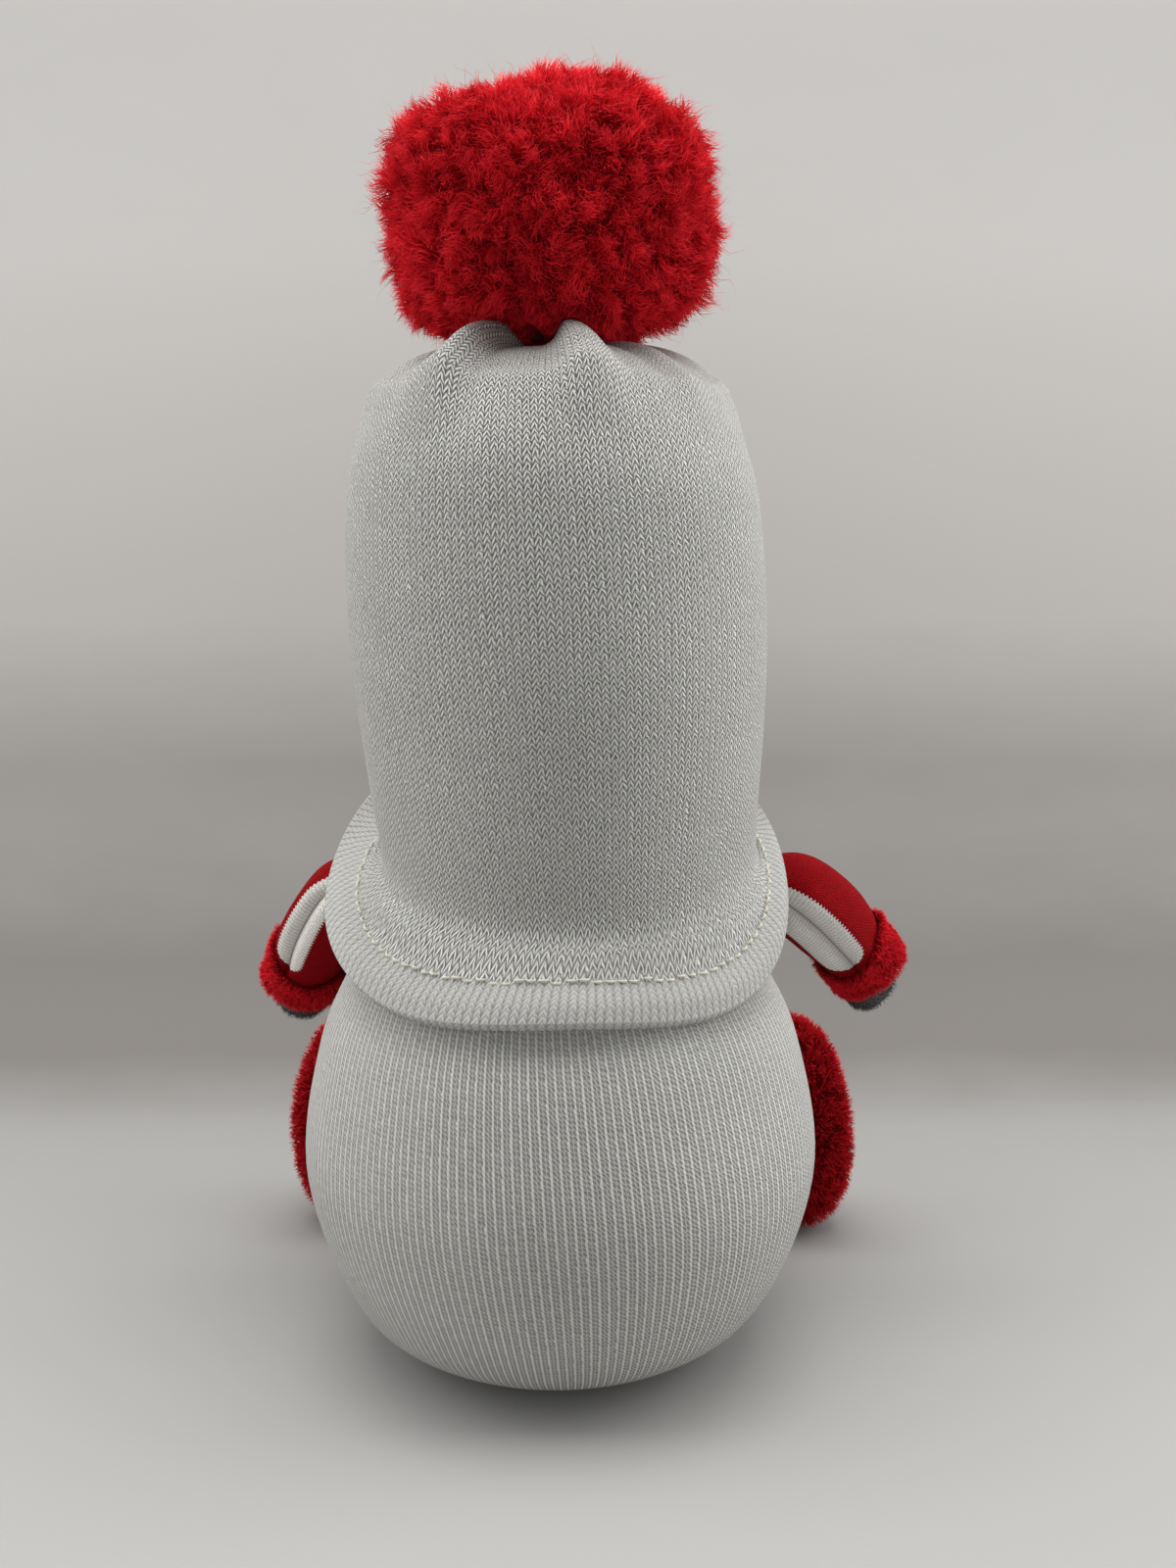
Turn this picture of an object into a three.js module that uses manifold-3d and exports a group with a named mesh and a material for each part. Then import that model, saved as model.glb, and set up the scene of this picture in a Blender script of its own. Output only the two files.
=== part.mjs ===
import * as THREE from 'three';
import { mergeVertices } from 'three/addons/utils/BufferGeometryUtils.js';
import Module from 'manifold-3d';

// Stuffed sitting figure made from socks and long-pile fabric. Sizes in millimetres.
// The floor is at height 0, the figure faces -Y and its own left hand is on +X.

// General fits
const fabricThickness = 1.3;
const touchGap = 0.4;
const sewnGap = 0.8;
const looseGap = 1.4;

// Body sock, a bean-bag shape with a flat seat and a gathered neck
const seatRadius = 36;
const lowerBodyRadius = 55;
const lowerBodyHeight = 13;
const bodyWidestRadius = 67;
const bodyWidestHeight = 46;
const chestRadius = 62.5;
const chestHeight = 79;
const shoulderRadius = 53.5;
const shoulderHeight = 99;
const neckRadius = 42;
const neckHeight = 117;
const upperNeckRadius = 40;
const upperNeckHeight = 130;
const headTopRadius = 28;
const headTopHeight = 138;
const bodyGatherRadius = 7;
const bodyGatherRise = 3;
const neckShift = -3;
const pelletBagHeight = 30;
const tieCordRadius = 1;

// Hat sock, a stuffed tube whose hem flares over the shoulders and whose crown is gathered
const hemRadius = 59;
const hemHeight = 122;
const hemDrop = 23.8;
const hemSquareness = 0.8;
const hemBandWidth = 13;
const hatWaistRadius = 45;
const hatWaistHeight = 129;
const hatWaistDrop = 12;
const hatLowerRadius = 49.5;
const hatLowerHeight = 143;
const hatWidestRadius = 53;
const hatWidestHeight = 186;
const hatUpperRadius = 51;
const hatUpperHeight = 222;
const crownEdgeRadius = 44.5;
const crownEdgeHeight = 240;
const crownInnerRadius = 28;
const crownInnerHeight = 250.5;
const crownGatherRadius = 6;
const crownGatherWidth = 3;
const crownHeight = 252;
const crownShift = 2.2;
const pleatCount = 9;
const pleatDepth = 1.1;
const threadRadius = 0.45;

// Fur ball sewn on the crown
const pompomRadius = 44;
const pompomHalfHeight = 34;
const pompomCentreHeight = 286;
const pompomUndersideHeight = 256.5;
const pompomLump = 2.6;
const pompomLumpTurn = 1.5;
const pompomPileThickness = 13;
const pompomOpeningRadius = 6;

// Nose and beard, on the front under the raised hem
const noseRadius = 13;
const noseHeight = 124;
const noseOpening = 0.3;
const beardTopHeight = 109;
const beardTopRise = 11;
const beardTipHeight = 27;
const beardHalfWidth = 34;
const beardTipHalfWidth = 6;
const beardTaper = 0.7;
const beardPileThickness = 11;
const beardEdgeThickness = 2.5;

// Arms, knitted sleeves with fur cuffs and fleece mittens
const shoulderPadRadius = 2.9;
const shoulderPadHeight = 7;
const armRootHeight = 117;
const armRootTurn = 14;
const armRootRadius = 5.5;
const sleeveRadius = 11.8;
const sleeveSwellLength = 10;
const sleeveCuffRadius = 9.8;
const sleeveGatherLength = 5;
const sleeveLength = 40.5;
const sleeveTurnIn = 2;
const cuffLength = 12;
const cuffThickness = 2;
const cuffReach = 3;
const mittenLength = 14;
const mittenRadius = 7;
const mittenWristRadius = 6.4;
const mittenInsert = 6;

// The roots lie in front of the sides by a turn in degrees. An arm leaves its root to a bend
// (outward, back, up) and then hangs down and forward, in degrees. The hand turns towards its
// own direction (outward, back, up).
const leftArm = { side: 1, droop: 56, forward: 50, bend: [9.5, -5, -4], hand: [-0.3, -0.9, -0.3] };
const rightArm = { side: -1, droop: 50, forward: 28, bend: [13, -4, -4], hand: [-0.8, -0.4, -0.45] };

// Legs and fur boots, which stand on their heels in front of the body, splayed in degrees
const leftLeg = { side: 1, splay: 41 };
const rightLeg = { side: -1, splay: 49 };
const hipHeight = 20;
const hipContactRise = 2;
const legRadius = 10.5;
const legEndRadius = 9.5;
const legLength = 21;
const bootReach = 2;
const bootHeight = 66;
const bootHalfWidth = 25;
const bootHalfDepth = 17;
const bootPileThickness = 5;

// Facets round each kind of piece, and the least step between two rings
const bodyFacets = 32;
const hatFacets = pleatCount * 4;
const pompomFacets = 28;
const noseFacets = 20;
const limbFacets = 16;
const mittenFacets = 12;
const bootFacets = 24;
const leastStep = 1;

const TURN = Math.PI * 2;

// Materials

function knitWhite() {
  return new THREE.MeshStandardMaterial({ color: 0xd9d8d2, roughness: 0.95, metalness: 0 });
}

function knitRed() {
  return new THREE.MeshStandardMaterial({ color: 0x9c0f19, roughness: 0.95, metalness: 0 });
}

function furRed() {
  return new THREE.MeshStandardMaterial({ color: 0xc4101f, roughness: 0.9, metalness: 0 });
}

function furWhite() {
  return new THREE.MeshStandardMaterial({ color: 0xdcdad4, roughness: 0.9, metalness: 0 });
}

function fleeceGrey() {
  return new THREE.MeshStandardMaterial({ color: 0x3c3b3d, roughness: 0.95, metalness: 0 });
}

function skinJersey() {
  return new THREE.MeshStandardMaterial({ color: 0xdca98c, roughness: 0.9, metalness: 0 });
}

function fibreFill() {
  return new THREE.MeshStandardMaterial({ color: 0xf2f2ef, roughness: 1, metalness: 0 });
}

function cottonThread() {
  return new THREE.MeshStandardMaterial({ color: 0xcfc8b4, roughness: 0.9, metalness: 0 });
}

// Surfaces built from rings of points

function closedSurface(rings, ends) {
  const around = rings[0].length;
  const points = rings.flat();
  const faces = [];
  const steps = ends === 'joined' ? rings.length : rings.length - 1;
  for (let i = 0; i < steps; i += 1) {
    const here = i * around;
    const there = ((i + 1) % rings.length) * around;
    for (let j = 0; j < around; j += 1) {
      const next = (j + 1) % around;
      faces.push(here + j, here + next, there + next);
      faces.push(here + j, there + next, there + j);
    }
  }
  const top = (rings.length - 1) * around;
  if (ends === 'fans') {
    const bottomCentre = points.length;
    points.push(middleOf(rings[0]), middleOf(rings[rings.length - 1]));
    for (let j = 0; j < around; j += 1) {
      const next = (j + 1) % around;
      faces.push(bottomCentre, next, j);
      faces.push(bottomCentre + 1, top + j, top + next);
    }
  }
  if (ends === 'strips') {
    for (let j = 0; j < around / 2 - 1; j += 1) {
      const across = around - 1 - j;
      faces.push(j, across, across - 1, j, across - 1, j + 1);
      faces.push(top + j, top + j + 1, top + across - 1, top + j, top + across - 1, top + across);
    }
  }
  const geometry = new THREE.BufferGeometry().setFromPoints(points);
  geometry.setIndex(faces);
  geometry.computeVertexNormals();
  return geometry;
}

function middleOf(ring) {
  const sum = ring.reduce((total, point) => total.add(point), new THREE.Vector3());
  return sum.divideScalar(ring.length);
}

function ringAround(count, pointAt) {
  return Array.from({ length: count }, (_, i) => pointAt((i * TURN) / count));
}

function onCircle(radius, angle, height) {
  return new THREE.Vector3(radius * Math.cos(angle), radius * Math.sin(angle), height);
}

function smoothOutline(stations, steps) {
  const points = stations.map(([radius, height]) => new THREE.Vector2(radius, height));
  return new THREE.SplineCurve(points).getPoints(steps);
}

function insetOutline(outline, depth) {
  return outline.map((point, i) => {
    const before = outline[Math.max(i - 1, 0)];
    const after = outline[Math.min(i + 1, outline.length - 1)];
    const along = after.clone().sub(before).normalize();
    return new THREE.Vector2(point.x - along.y * depth, point.y + along.x * depth);
  });
}

function radiusAtHeight(outline, height) {
  const above = outline.findIndex((point) => point.y >= height);
  if (above <= 0) {
    return outline[above === 0 ? 0 : outline.length - 1].x;
  }
  const low = outline[above - 1];
  const high = outline[above];
  return low.x + ((high.x - low.x) * (height - low.y)) / (high.y - low.y);
}

function mix(from, to, share) {
  return from + (to - from) * share;
}

function smoothStep(from, to, value) {
  return THREE.MathUtils.smoothstep(value, from, to);
}

function radians(degrees) {
  return THREE.MathUtils.degToRad(degrees);
}

// Booleans on closed geometries

const wasm = await Module();
wasm.setup();

function toSolid(geometry) {
  const plain = geometry.clone();
  plain.deleteAttribute('normal');
  plain.deleteAttribute('uv');
  const merged = mergeVertices(plain);
  const mesh = new wasm.Mesh({
    numProp: 3,
    vertProperties: Float32Array.from(merged.attributes.position.array),
    triVerts: Uint32Array.from(merged.index.array),
  });
  return new wasm.Manifold(mesh);
}

function toGeometry(solid) {
  const mesh = solid.getMesh();
  const geometry = new THREE.BufferGeometry();
  geometry.setAttribute('position', new THREE.BufferAttribute(mesh.vertProperties, 3));
  geometry.setIndex(new THREE.BufferAttribute(mesh.triVerts, 1));
  geometry.computeVertexNormals();
  return geometry;
}

// Body

const bodyOutline = smoothOutline([
  [seatRadius, 0],
  [lowerBodyRadius, lowerBodyHeight],
  [bodyWidestRadius, bodyWidestHeight],
  [chestRadius, chestHeight],
  [shoulderRadius, shoulderHeight],
  [neckRadius, neckHeight],
  [upperNeckRadius, upperNeckHeight],
  [headTopRadius, headTopHeight],
  [bodyGatherRadius, headTopHeight + bodyGatherRise],
], 16);

const bodyInnerOutline = insetOutline(bodyOutline, fabricThickness);
const bodyFillOutline = insetOutline(bodyOutline, fabricThickness + touchGap);

// The neck leans a little to the figure's right, and the hat with it.
function neckShiftAt(height) {
  return neckShift * smoothStep(shoulderHeight, neckHeight, height);
}

function bodyRings(outline) {
  return outline.map((station) => ringAround(bodyFacets, (angle) => {
    const point = onCircle(station.x, angle, station.y);
    point.x += neckShiftAt(station.y);
    return point;
  }));
}

function bodyRadiusAt(height) {
  return radiusAtHeight(bodyOutline, height);
}

function makeBodySock() {
  const stations = [...bodyOutline, ...bodyInnerOutline.slice().reverse()];
  return closedSurface(bodyRings(stations), 'fans');
}

// The fibre filling lies on the pellet bag and stops under the gathered neck.
function makeBodyStuffing() {
  const bottom = pelletBagHeight + touchGap;
  const upper = bodyFillOutline.filter((point) => point.y > bottom + leastStep);
  const start = new THREE.Vector2(radiusAtHeight(bodyFillOutline, bottom), bottom);
  return closedSurface(bodyRings([start, ...upper]), 'fans');
}

// A round bag of plastic pellets keeps the figure upright on its flat seat.
function makePelletBag() {
  const lower = bodyFillOutline.filter((point) => point.y < pelletBagHeight - leastStep);
  const rim = new THREE.Vector2(radiusAtHeight(bodyFillOutline, pelletBagHeight), pelletBagHeight);
  return closedSurface(bodyRings([...lower, rim]), 'fans');
}

function ringOfCord(ringRadius, cordRadius, height, shift) {
  const geometry = new THREE.TorusGeometry(ringRadius, cordRadius, 6, 20);
  geometry.translate(shift, 0, height);
  return geometry;
}

const neckTieHeight = headTopHeight + bodyGatherRise + tieCordRadius + sewnGap;

function makeNeckTie() {
  return ringOfCord(bodyGatherRadius + tieCordRadius, tieCordRadius, neckTieHeight, neckShift);
}

// Hat

const hatOutline = smoothOutline([
  [hatWaistRadius, hatWaistHeight - hatWaistDrop],
  [hatLowerRadius, hatLowerHeight],
  [hatWidestRadius, hatWidestHeight],
  [hatUpperRadius, hatUpperHeight],
  [crownEdgeRadius, crownEdgeHeight],
  [crownInnerRadius, crownInnerHeight],
  [crownGatherRadius, crownHeight],
], 36);

function hatShiftAt(height) {
  const start = hatWaistHeight - hatWaistDrop;
  const share = THREE.MathUtils.clamp((height - start) / (crownEdgeHeight - start), 0, 1);
  return mix(neckShift, crownShift, share);
}

// The hem hangs lower at the back than over the face, and its lowest stretch is nearly level.
function hemEdgeHeight(angle) {
  const back = Math.sin(angle);
  return hemHeight - hemDrop * back * (1 + hemSquareness * (1 - back ** 2));
}

// The hem band and the flare
function flareStations(angle) {
  const edgeHeight = hemEdgeHeight(angle);
  const waistHeight = hatWaistHeight - hatWaistDrop * Math.sin(angle);
  const waistRadius = radiusAtHeight(hatOutline, waistHeight);
  const flareLength = Math.hypot(hemRadius - waistRadius, edgeHeight - waistHeight);
  const band = hemBandWidth / (flareLength + hemBandWidth / 2);
  return [0, band, 1].map((share) => ({
    radius: mix(hemRadius, waistRadius, share),
    height: mix(edgeHeight, waistHeight, share),
    shift: neckShift * share,
  }));
}

function tubeStations(waistHeight) {
  return [0.1, 0.25, 0.45, 0.65, 0.83, 1].map((share) => {
    const height = mix(waistHeight, crownEdgeHeight, share);
    return { radius: radiusAtHeight(hatOutline, height), height, shift: hatShiftAt(height) };
  });
}

// The crown's pleats fade out towards the thread that gathers them.
function crownStations(angle) {
  const fold = pleatDepth * Math.cos(pleatCount * angle);
  const crown = hatOutline.filter((point) =>
    point.y > crownEdgeHeight + leastStep && point.x > crownGatherRadius + crownGatherWidth);
  const pleated = crown.filter((_, i) => i % 2 === 0).map((point) => {
    const share = smoothStep(crownGatherRadius, crownInnerRadius, point.x);
    return { radius: point.x + fold * share, height: point.y + fold * share, shift: crownShift };
  });
  return [...pleated, { radius: crownGatherRadius, height: crownHeight, shift: crownShift }];
}

function hatMeridian(angle) {
  const flare = flareStations(angle);
  return [...flare, ...tubeStations(flare[2].height), ...crownStations(angle)];
}

function insetMeridian(stations, depthAt) {
  return stations.map((station, i) => {
    const before = stations[Math.max(i - 1, 0)];
    const after = stations[Math.min(i + 1, stations.length - 1)];
    const rise = after.height - before.height;
    const run = after.radius - before.radius;
    const share = depthAt(i) / Math.hypot(rise, run);
    return {
      radius: station.radius - rise * share,
      height: station.height + run * share,
      shift: station.shift,
    };
  });
}

function placeStation(station, angle) {
  const point = onCircle(station.radius, angle, station.height);
  point.x += station.shift;
  return point;
}

function ringsFromMeridians(count, meridianAt) {
  const length = meridianAt(0).length;
  return Array.from({ length }, (_, i) =>
    ringAround(count, (angle) => placeStation(meridianAt(angle)[i], angle)));
}

// The knitted tube is one piece: a doubled hem band, the flare, the tube and the gathered crown.
function makeHatSock() {
  const depthAt = (i) => (i < 2 ? fabricThickness * 2 : fabricThickness);
  const outer = ringsFromMeridians(hatFacets, hatMeridian);
  const inner = ringsFromMeridians(hatFacets, (angle) =>
    insetMeridian(hatMeridian(angle), depthAt));
  return closedSurface([...outer, ...inner.reverse()], 'joined');
}

// The filling fits the inside of the tube and stops above the tied neck of the body.
function makeHatStuffing() {
  const bottom = {
    radius: upperNeckRadius,
    height: neckTieHeight + tieCordRadius + sewnGap,
    shift: neckShift,
  };
  const base = ringAround(hatFacets, (angle) => placeStation(bottom, angle));
  const tube = ringsFromMeridians(hatFacets, (angle) =>
    insetMeridian(hatMeridian(angle), () => fabricThickness + looseGap)).slice(4, -2);
  return closedSurface([base, ...tube], 'fans');
}

// One row of thread follows the top of the hem band all the way round.
function makeHemStitching() {
  const up = new THREE.Vector3(0, 0, 1);
  const rings = ringAround(hatFacets, (angle) => {
    const stations = insetMeridian(hatMeridian(angle), () => -(threadRadius + touchGap));
    const centre = placeStation(stations[1], angle);
    const outward = new THREE.Vector3(Math.cos(angle), Math.sin(angle), 0);
    return ringAround(4, (turn) => centre.clone()
      .addScaledVector(up, threadRadius * Math.cos(turn))
      .addScaledVector(outward, threadRadius * Math.sin(turn)));
  });
  return closedSurface(rings, 'joined');
}

const crownThreadHeight = crownHeight + tieCordRadius + sewnGap;

function makeCrownThread() {
  const ringRadius = crownGatherRadius + tieCordRadius;
  return ringOfCord(ringRadius, tieCordRadius, crownThreadHeight, crownShift);
}

// Pompom

function pompomRing(radius, halfHeight, polar, lump) {
  return ringAround(pompomFacets, (angle) => {
    const lobes = Math.cos(3 * angle + pompomLumpTurn) * Math.sin(2 * polar);
    const tufts = Math.cos(5 * angle) * Math.sin(polar);
    const swell = 1 + (lump * (lobes + tufts)) / pompomRadius;
    const height = pompomCentreHeight - halfHeight * Math.cos(polar) * swell;
    const point = onCircle(radius * Math.sin(polar) * swell, angle, height);
    point.x += crownShift;
    return point;
  });
}

function flattenBelow(ring, height) {
  return ring.map((point) => point.clone().setZ(Math.max(point.z, height)));
}

function pompomInnerRings(inset) {
  const radius = pompomRadius - pompomPileThickness;
  const halfHeight = pompomHalfHeight - pompomPileThickness;
  const opening = Math.asin(pompomOpeningRadius / radius);
  return [1, 2, 3, 4, 5, 6].map((step) => {
    const polar = mix(Math.PI, opening, step / 6);
    return pompomRing(radius - inset, halfHeight - inset, polar, 0);
  });
}

// Long-pile fabric gathered into a ball round its filling, open where it is tied underneath.
function makePompomFur() {
  const rings = pompomInnerRings(0);
  const opening = Math.asin(pompomOpeningRadius / pompomRadius);
  for (let i = 0; i < 10; i += 1) {
    const polar = mix(opening, Math.PI, i / 10);
    const ring = pompomRing(pompomRadius, pompomHalfHeight, polar, i > 1 ? pompomLump : 0);
    rings.push(flattenBelow(ring, pompomUndersideHeight));
  }
  return closedSurface(rings, 'fans');
}

function makePompomStuffing() {
  return closedSurface(pompomInnerRings(touchGap).reverse(), 'fans');
}

// The tie is a spool of thread: one knot in the opening and one inside the ring on the crown.
function makePompomTie() {
  const seatBottom = crownThreadHeight - tieCordRadius;
  const seatTop = crownThreadHeight + tieCordRadius;
  const seatWidth = crownGatherRadius - touchGap;
  const knotBottom = pompomUndersideHeight + tieCordRadius;
  const knotTop = pompomCentreHeight - pompomHalfHeight + pompomPileThickness - touchGap;
  const knotWidth = pompomOpeningRadius - touchGap * 2;
  const outline = [
    [0, seatBottom],
    [seatWidth, seatBottom],
    [seatWidth, seatTop],
    [tieCordRadius, seatTop],
    [tieCordRadius, knotBottom],
    [knotWidth, knotBottom],
    [knotWidth, knotTop - tieCordRadius],
    [0, knotTop],
  ].map(([radius, height]) => new THREE.Vector2(radius, height));
  const geometry = new THREE.LatheGeometry(outline, limbFacets);
  geometry.rotateX(TURN / 4);
  geometry.translate(crownShift, 0, 0);
  return geometry;
}

// Nose

const noseDistance = bodyRadiusAt(noseHeight) + sewnGap + noseRadius;

function noseRings(radius) {
  return [0, 1, 2, 3, 4, 5, 6, 7].map((step) => {
    const polar = mix(noseOpening, Math.PI, step / 8);
    return ringAround(noseFacets, (angle) =>
      onCircle(radius * Math.sin(polar), angle, -radius * Math.cos(polar)));
  });
}

// The gathered side of the ball, with its opening, is sewn against the body.
function placeNose(geometry) {
  geometry.rotateX(TURN / 4);
  geometry.translate(neckShift, -noseDistance, noseHeight);
  return geometry;
}

function makeNoseCover() {
  const outer = noseRings(noseRadius);
  const inner = noseRings(noseRadius - fabricThickness).reverse();
  return placeNose(closedSurface([...inner, ...outer], 'fans'));
}

function makeNoseStuffing() {
  const rings = noseRings(noseRadius - fabricThickness - touchGap);
  return placeNose(closedSurface(rings, 'fans'));
}

// Beard

function beardPoint(across, up, depth) {
  const top = beardTopHeight + beardTopRise * across * across;
  const height = mix(beardTipHeight, top, up);
  const halfWidth = mix(beardTipHalfWidth, beardHalfWidth, up ** beardTaper);
  const radius = bodyRadiusAt(height);
  const angle = -TURN / 4 + (across * halfWidth) / radius;
  const point = onCircle(radius + depth, angle, height);
  point.x += neckShiftAt(height);
  return point;
}

function beardSlab(innerDepth, outerDepthAt) {
  const acrossSteps = 10;
  const upSteps = 11;
  const rings = [];
  for (let i = 0; i <= upSteps; i += 1) {
    const up = i / upSteps;
    const outer = [];
    const inner = [];
    for (let j = 0; j <= acrossSteps; j += 1) {
      const across = mix(-1, 1, j / acrossSteps);
      outer.push(beardPoint(across, up, outerDepthAt(across, up)));
      inner.push(beardPoint(across, up, innerDepth));
    }
    rings.push([...outer, ...inner.reverse()]);
  }
  return closedSurface(rings, 'strips');
}

function makeBeardBacking() {
  return beardSlab(looseGap, () => looseGap + fabricThickness);
}

// The long pile falls over the backing and ends in a point above the floor.
function makeBeardPile() {
  const inner = looseGap + fabricThickness + looseGap;
  return beardSlab(inner, (across, up) => {
    const swellUp = Math.sqrt(Math.sin(Math.PI * mix(0.06, 0.9, up)));
    const swellAcross = 1 - across ** 4;
    return inner + mix(beardEdgeThickness, beardPileThickness, swellUp * swellAcross);
  });
}

// Arms. Each one hangs from a small folded pad sewn to the side of the body.

const padFootHeight = armRootHeight - shoulderPadHeight / 2;
const padDistance = bodyRadiusAt(padFootHeight) + touchGap + shoulderPadRadius;
const armRootDistance = padDistance + shoulderPadRadius + touchGap + armRootRadius;

function besideBody(arm, distance) {
  const turn = radians(armRootTurn);
  const x = arm.side * distance * Math.cos(turn) + neckShiftAt(padFootHeight);
  return new THREE.Vector3(x, -distance * Math.sin(turn), armRootHeight);
}

function armPath(arm) {
  const droop = radians(arm.droop);
  const forward = radians(arm.forward);
  const root = besideBody(arm, armRootDistance);
  const [out, back, rise] = arm.bend;
  const bend = root.clone().add(new THREE.Vector3(arm.side * out, back, rise));
  const along = new THREE.Vector3(
    arm.side * Math.cos(droop) * Math.cos(forward),
    -Math.cos(droop) * Math.sin(forward),
    -Math.sin(droop),
  );
  const end = bend.clone().addScaledVector(along, sleeveLength - out);
  return new THREE.QuadraticBezierCurve3(root, bend, end);
}

// Rings square to the path; stations before its start or past its end run on straight.
function limbRings(path, stations, count) {
  const length = path.getLength();
  const up = new THREE.Vector3(0, 0, 1);
  return stations.map(([along, radius]) => {
    const share = THREE.MathUtils.clamp(along / length, 0, 1);
    const tangent = path.getTangentAt(share);
    const centre = path.getPointAt(share).addScaledVector(tangent, along - share * length);
    const across = up.clone().cross(tangent).normalize();
    const over = tangent.clone().cross(across);
    return ringAround(count, (turn) => centre.clone()
      .addScaledVector(across, radius * Math.cos(turn))
      .addScaledVector(over, radius * Math.sin(turn)));
  });
}

function roundedEnd(radius, polarAngles) {
  return polarAngles.map((polar) =>
    [-radius * Math.cos(radians(polar)), radius * Math.sin(radians(polar))]);
}

// A sleeve swells from its root, keeps its width and is drawn in above the cuff.
function sleeveStations(depth) {
  const gatherEnd = sleeveLength - cuffLength + leastStep;
  const swell = [0.25, 0.6, 1].map((share) =>
    [share * sleeveSwellLength, mix(armRootRadius, sleeveRadius, smoothStep(0, 1, share)) - depth]);
  return [
    ...roundedEnd(armRootRadius - depth, [20, 45, 70]),
    ...swell,
    [gatherEnd - sleeveGatherLength, sleeveRadius - depth],
    [gatherEnd, sleeveCuffRadius - depth],
    [sleeveLength - sleeveTurnIn, sleeveCuffRadius - depth],
  ];
}

function makeSleeve(arm) {
  const path = armPath(arm);
  const outer = limbRings(path, sleeveStations(0), limbFacets);
  const inner = limbRings(path, sleeveStations(fabricThickness), limbFacets);
  return closedSurface([...outer, ...inner.reverse()], 'fans');
}

function makeSleeveStuffing(arm) {
  const stations = sleeveStations(fabricThickness + sewnGap).slice(0, -1);
  return closedSurface(limbRings(armPath(arm), stations, limbFacets), 'fans');
}

// A band of long-pile fabric round the end of the sleeve; its profile is given in shares of
// the band's length and thickness.
function makeCuff(arm) {
  const innerRadius = sleeveCuffRadius + touchGap;
  const middle = sleeveLength - cuffLength / 2 + cuffReach;
  const profile = [
    [-0.5, 0], [-0.5, 0.4], [-0.3, 0.85], [0, 1], [0.3, 0.9], [0.5, 0.3],
    [0.45, 0], [0, 0],
  ];
  const stations = profile.map(([share, height]) =>
    [middle + share * cuffLength, innerRadius + height * cuffThickness]);
  return closedSurface(limbRings(armPath(arm), stations, limbFacets), 'joined');
}

// The mitten starts inside the sleeve, leaves the cuff straight and then turns to the hand.
function mittenPath(arm) {
  const path = armPath(arm);
  const along = path.getTangentAt(1);
  const wrist = path.getPointAt(1);
  const start = wrist.clone().addScaledVector(along, -mittenInsert);
  const leaving = wrist.clone().addScaledVector(along, cuffReach);
  const [outward, back, rise] = arm.hand;
  const towards = new THREE.Vector3(arm.side * outward, back, rise).normalize();
  const turned = along.clone().lerp(towards, 0.4);
  const palm = leaving.clone().addScaledVector(turned, mittenRadius);
  const tip = palm.clone().addScaledVector(towards, mittenLength - mittenRadius);
  return new THREE.CatmullRomCurve3([start, wrist, leaving, palm, tip], false, 'centripetal');
}

function makeMitten(arm) {
  const hand = mittenPath(arm);
  const length = hand.getLength();
  const plugRadius = sleeveCuffRadius - fabricThickness - sewnGap;
  const tipLength = mittenRadius / 2;
  const tip = [45, 15].map((polar) => [
    length - tipLength + tipLength * Math.cos(radians(polar)),
    mittenRadius * Math.sin(radians(polar)),
  ]);
  const stations = [
    [0, mittenWristRadius],
    [leastStep, plugRadius],
    [mittenInsert - sleeveTurnIn, plugRadius],
    [mittenInsert, mittenWristRadius],
    [mittenInsert + cuffReach, mittenWristRadius],
    [length - mittenRadius, mittenRadius],
    [length - tipLength, mittenRadius],
    ...tip,
  ];
  return closedSurface(limbRings(hand, stations, mittenFacets), 'fans');
}

function makeShoulderPad(arm) {
  const geometry = new THREE.CylinderGeometry(
    shoulderPadRadius, shoulderPadRadius, shoulderPadHeight, mittenFacets,
  );
  const centre = besideBody(arm, padDistance);
  geometry.rotateX(TURN / 4 - Math.atan2(hemDrop, hemRadius));
  geometry.rotateZ(-arm.side * radians(armRootTurn));
  geometry.translate(centre.x, centre.y, centre.z);
  return geometry;
}

// Legs and boots

const hipDistance = bodyRadiusAt(hipHeight + hipContactRise) + touchGap + legRadius;
const bootDistance = hipDistance + legLength + bootReach;

function legOutward(leg) {
  const splay = radians(leg.splay);
  return new THREE.Vector3(leg.side * Math.sin(splay), -Math.cos(splay), 0);
}

function legPoint(leg, distance) {
  return legOutward(leg).multiplyScalar(distance).setZ(hipHeight);
}

// A short knitted leg with a rounded end against the body, its other end inside the boot.
function makeLeg(leg) {
  const hip = legPoint(leg, hipDistance);
  const path = new THREE.LineCurve3(hip, legPoint(leg, hipDistance + legLength));
  const stations = [
    ...roundedEnd(legRadius, [15, 40, 65, 90]),
    [legLength / 2, legRadius],
    [legLength, legEndRadius],
  ];
  return closedSurface(limbRings(path, stations, limbFacets), 'fans');
}

// Outline of a boot from sole to toe, in shares of its half width and height
const bootOutline = smoothOutline([
  [0.55, 0],
  [0.86, 0.14],
  [1, 0.42],
  [0.9, 0.7],
  [0.62, 0.92],
  [0.18, 1],
], 10);

function bootSolid(leg, inset, count) {
  const outward = legOutward(leg);
  const across = new THREE.Vector3(-outward.y, outward.x, 0);
  const width = bootHalfWidth - inset;
  const depth = bootHalfDepth - inset;
  const rings = bootOutline.map((station) => {
    const height = mix(inset, bootHeight - inset, station.y);
    const centre = outward.clone().multiplyScalar(bootDistance).setZ(height);
    return ringAround(count, (turn) => centre.clone()
      .addScaledVector(outward, depth * station.x * Math.cos(turn))
      .addScaledVector(across, width * station.x * Math.sin(turn)));
  });
  return toSolid(closedSurface(rings, 'fans'));
}

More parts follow.
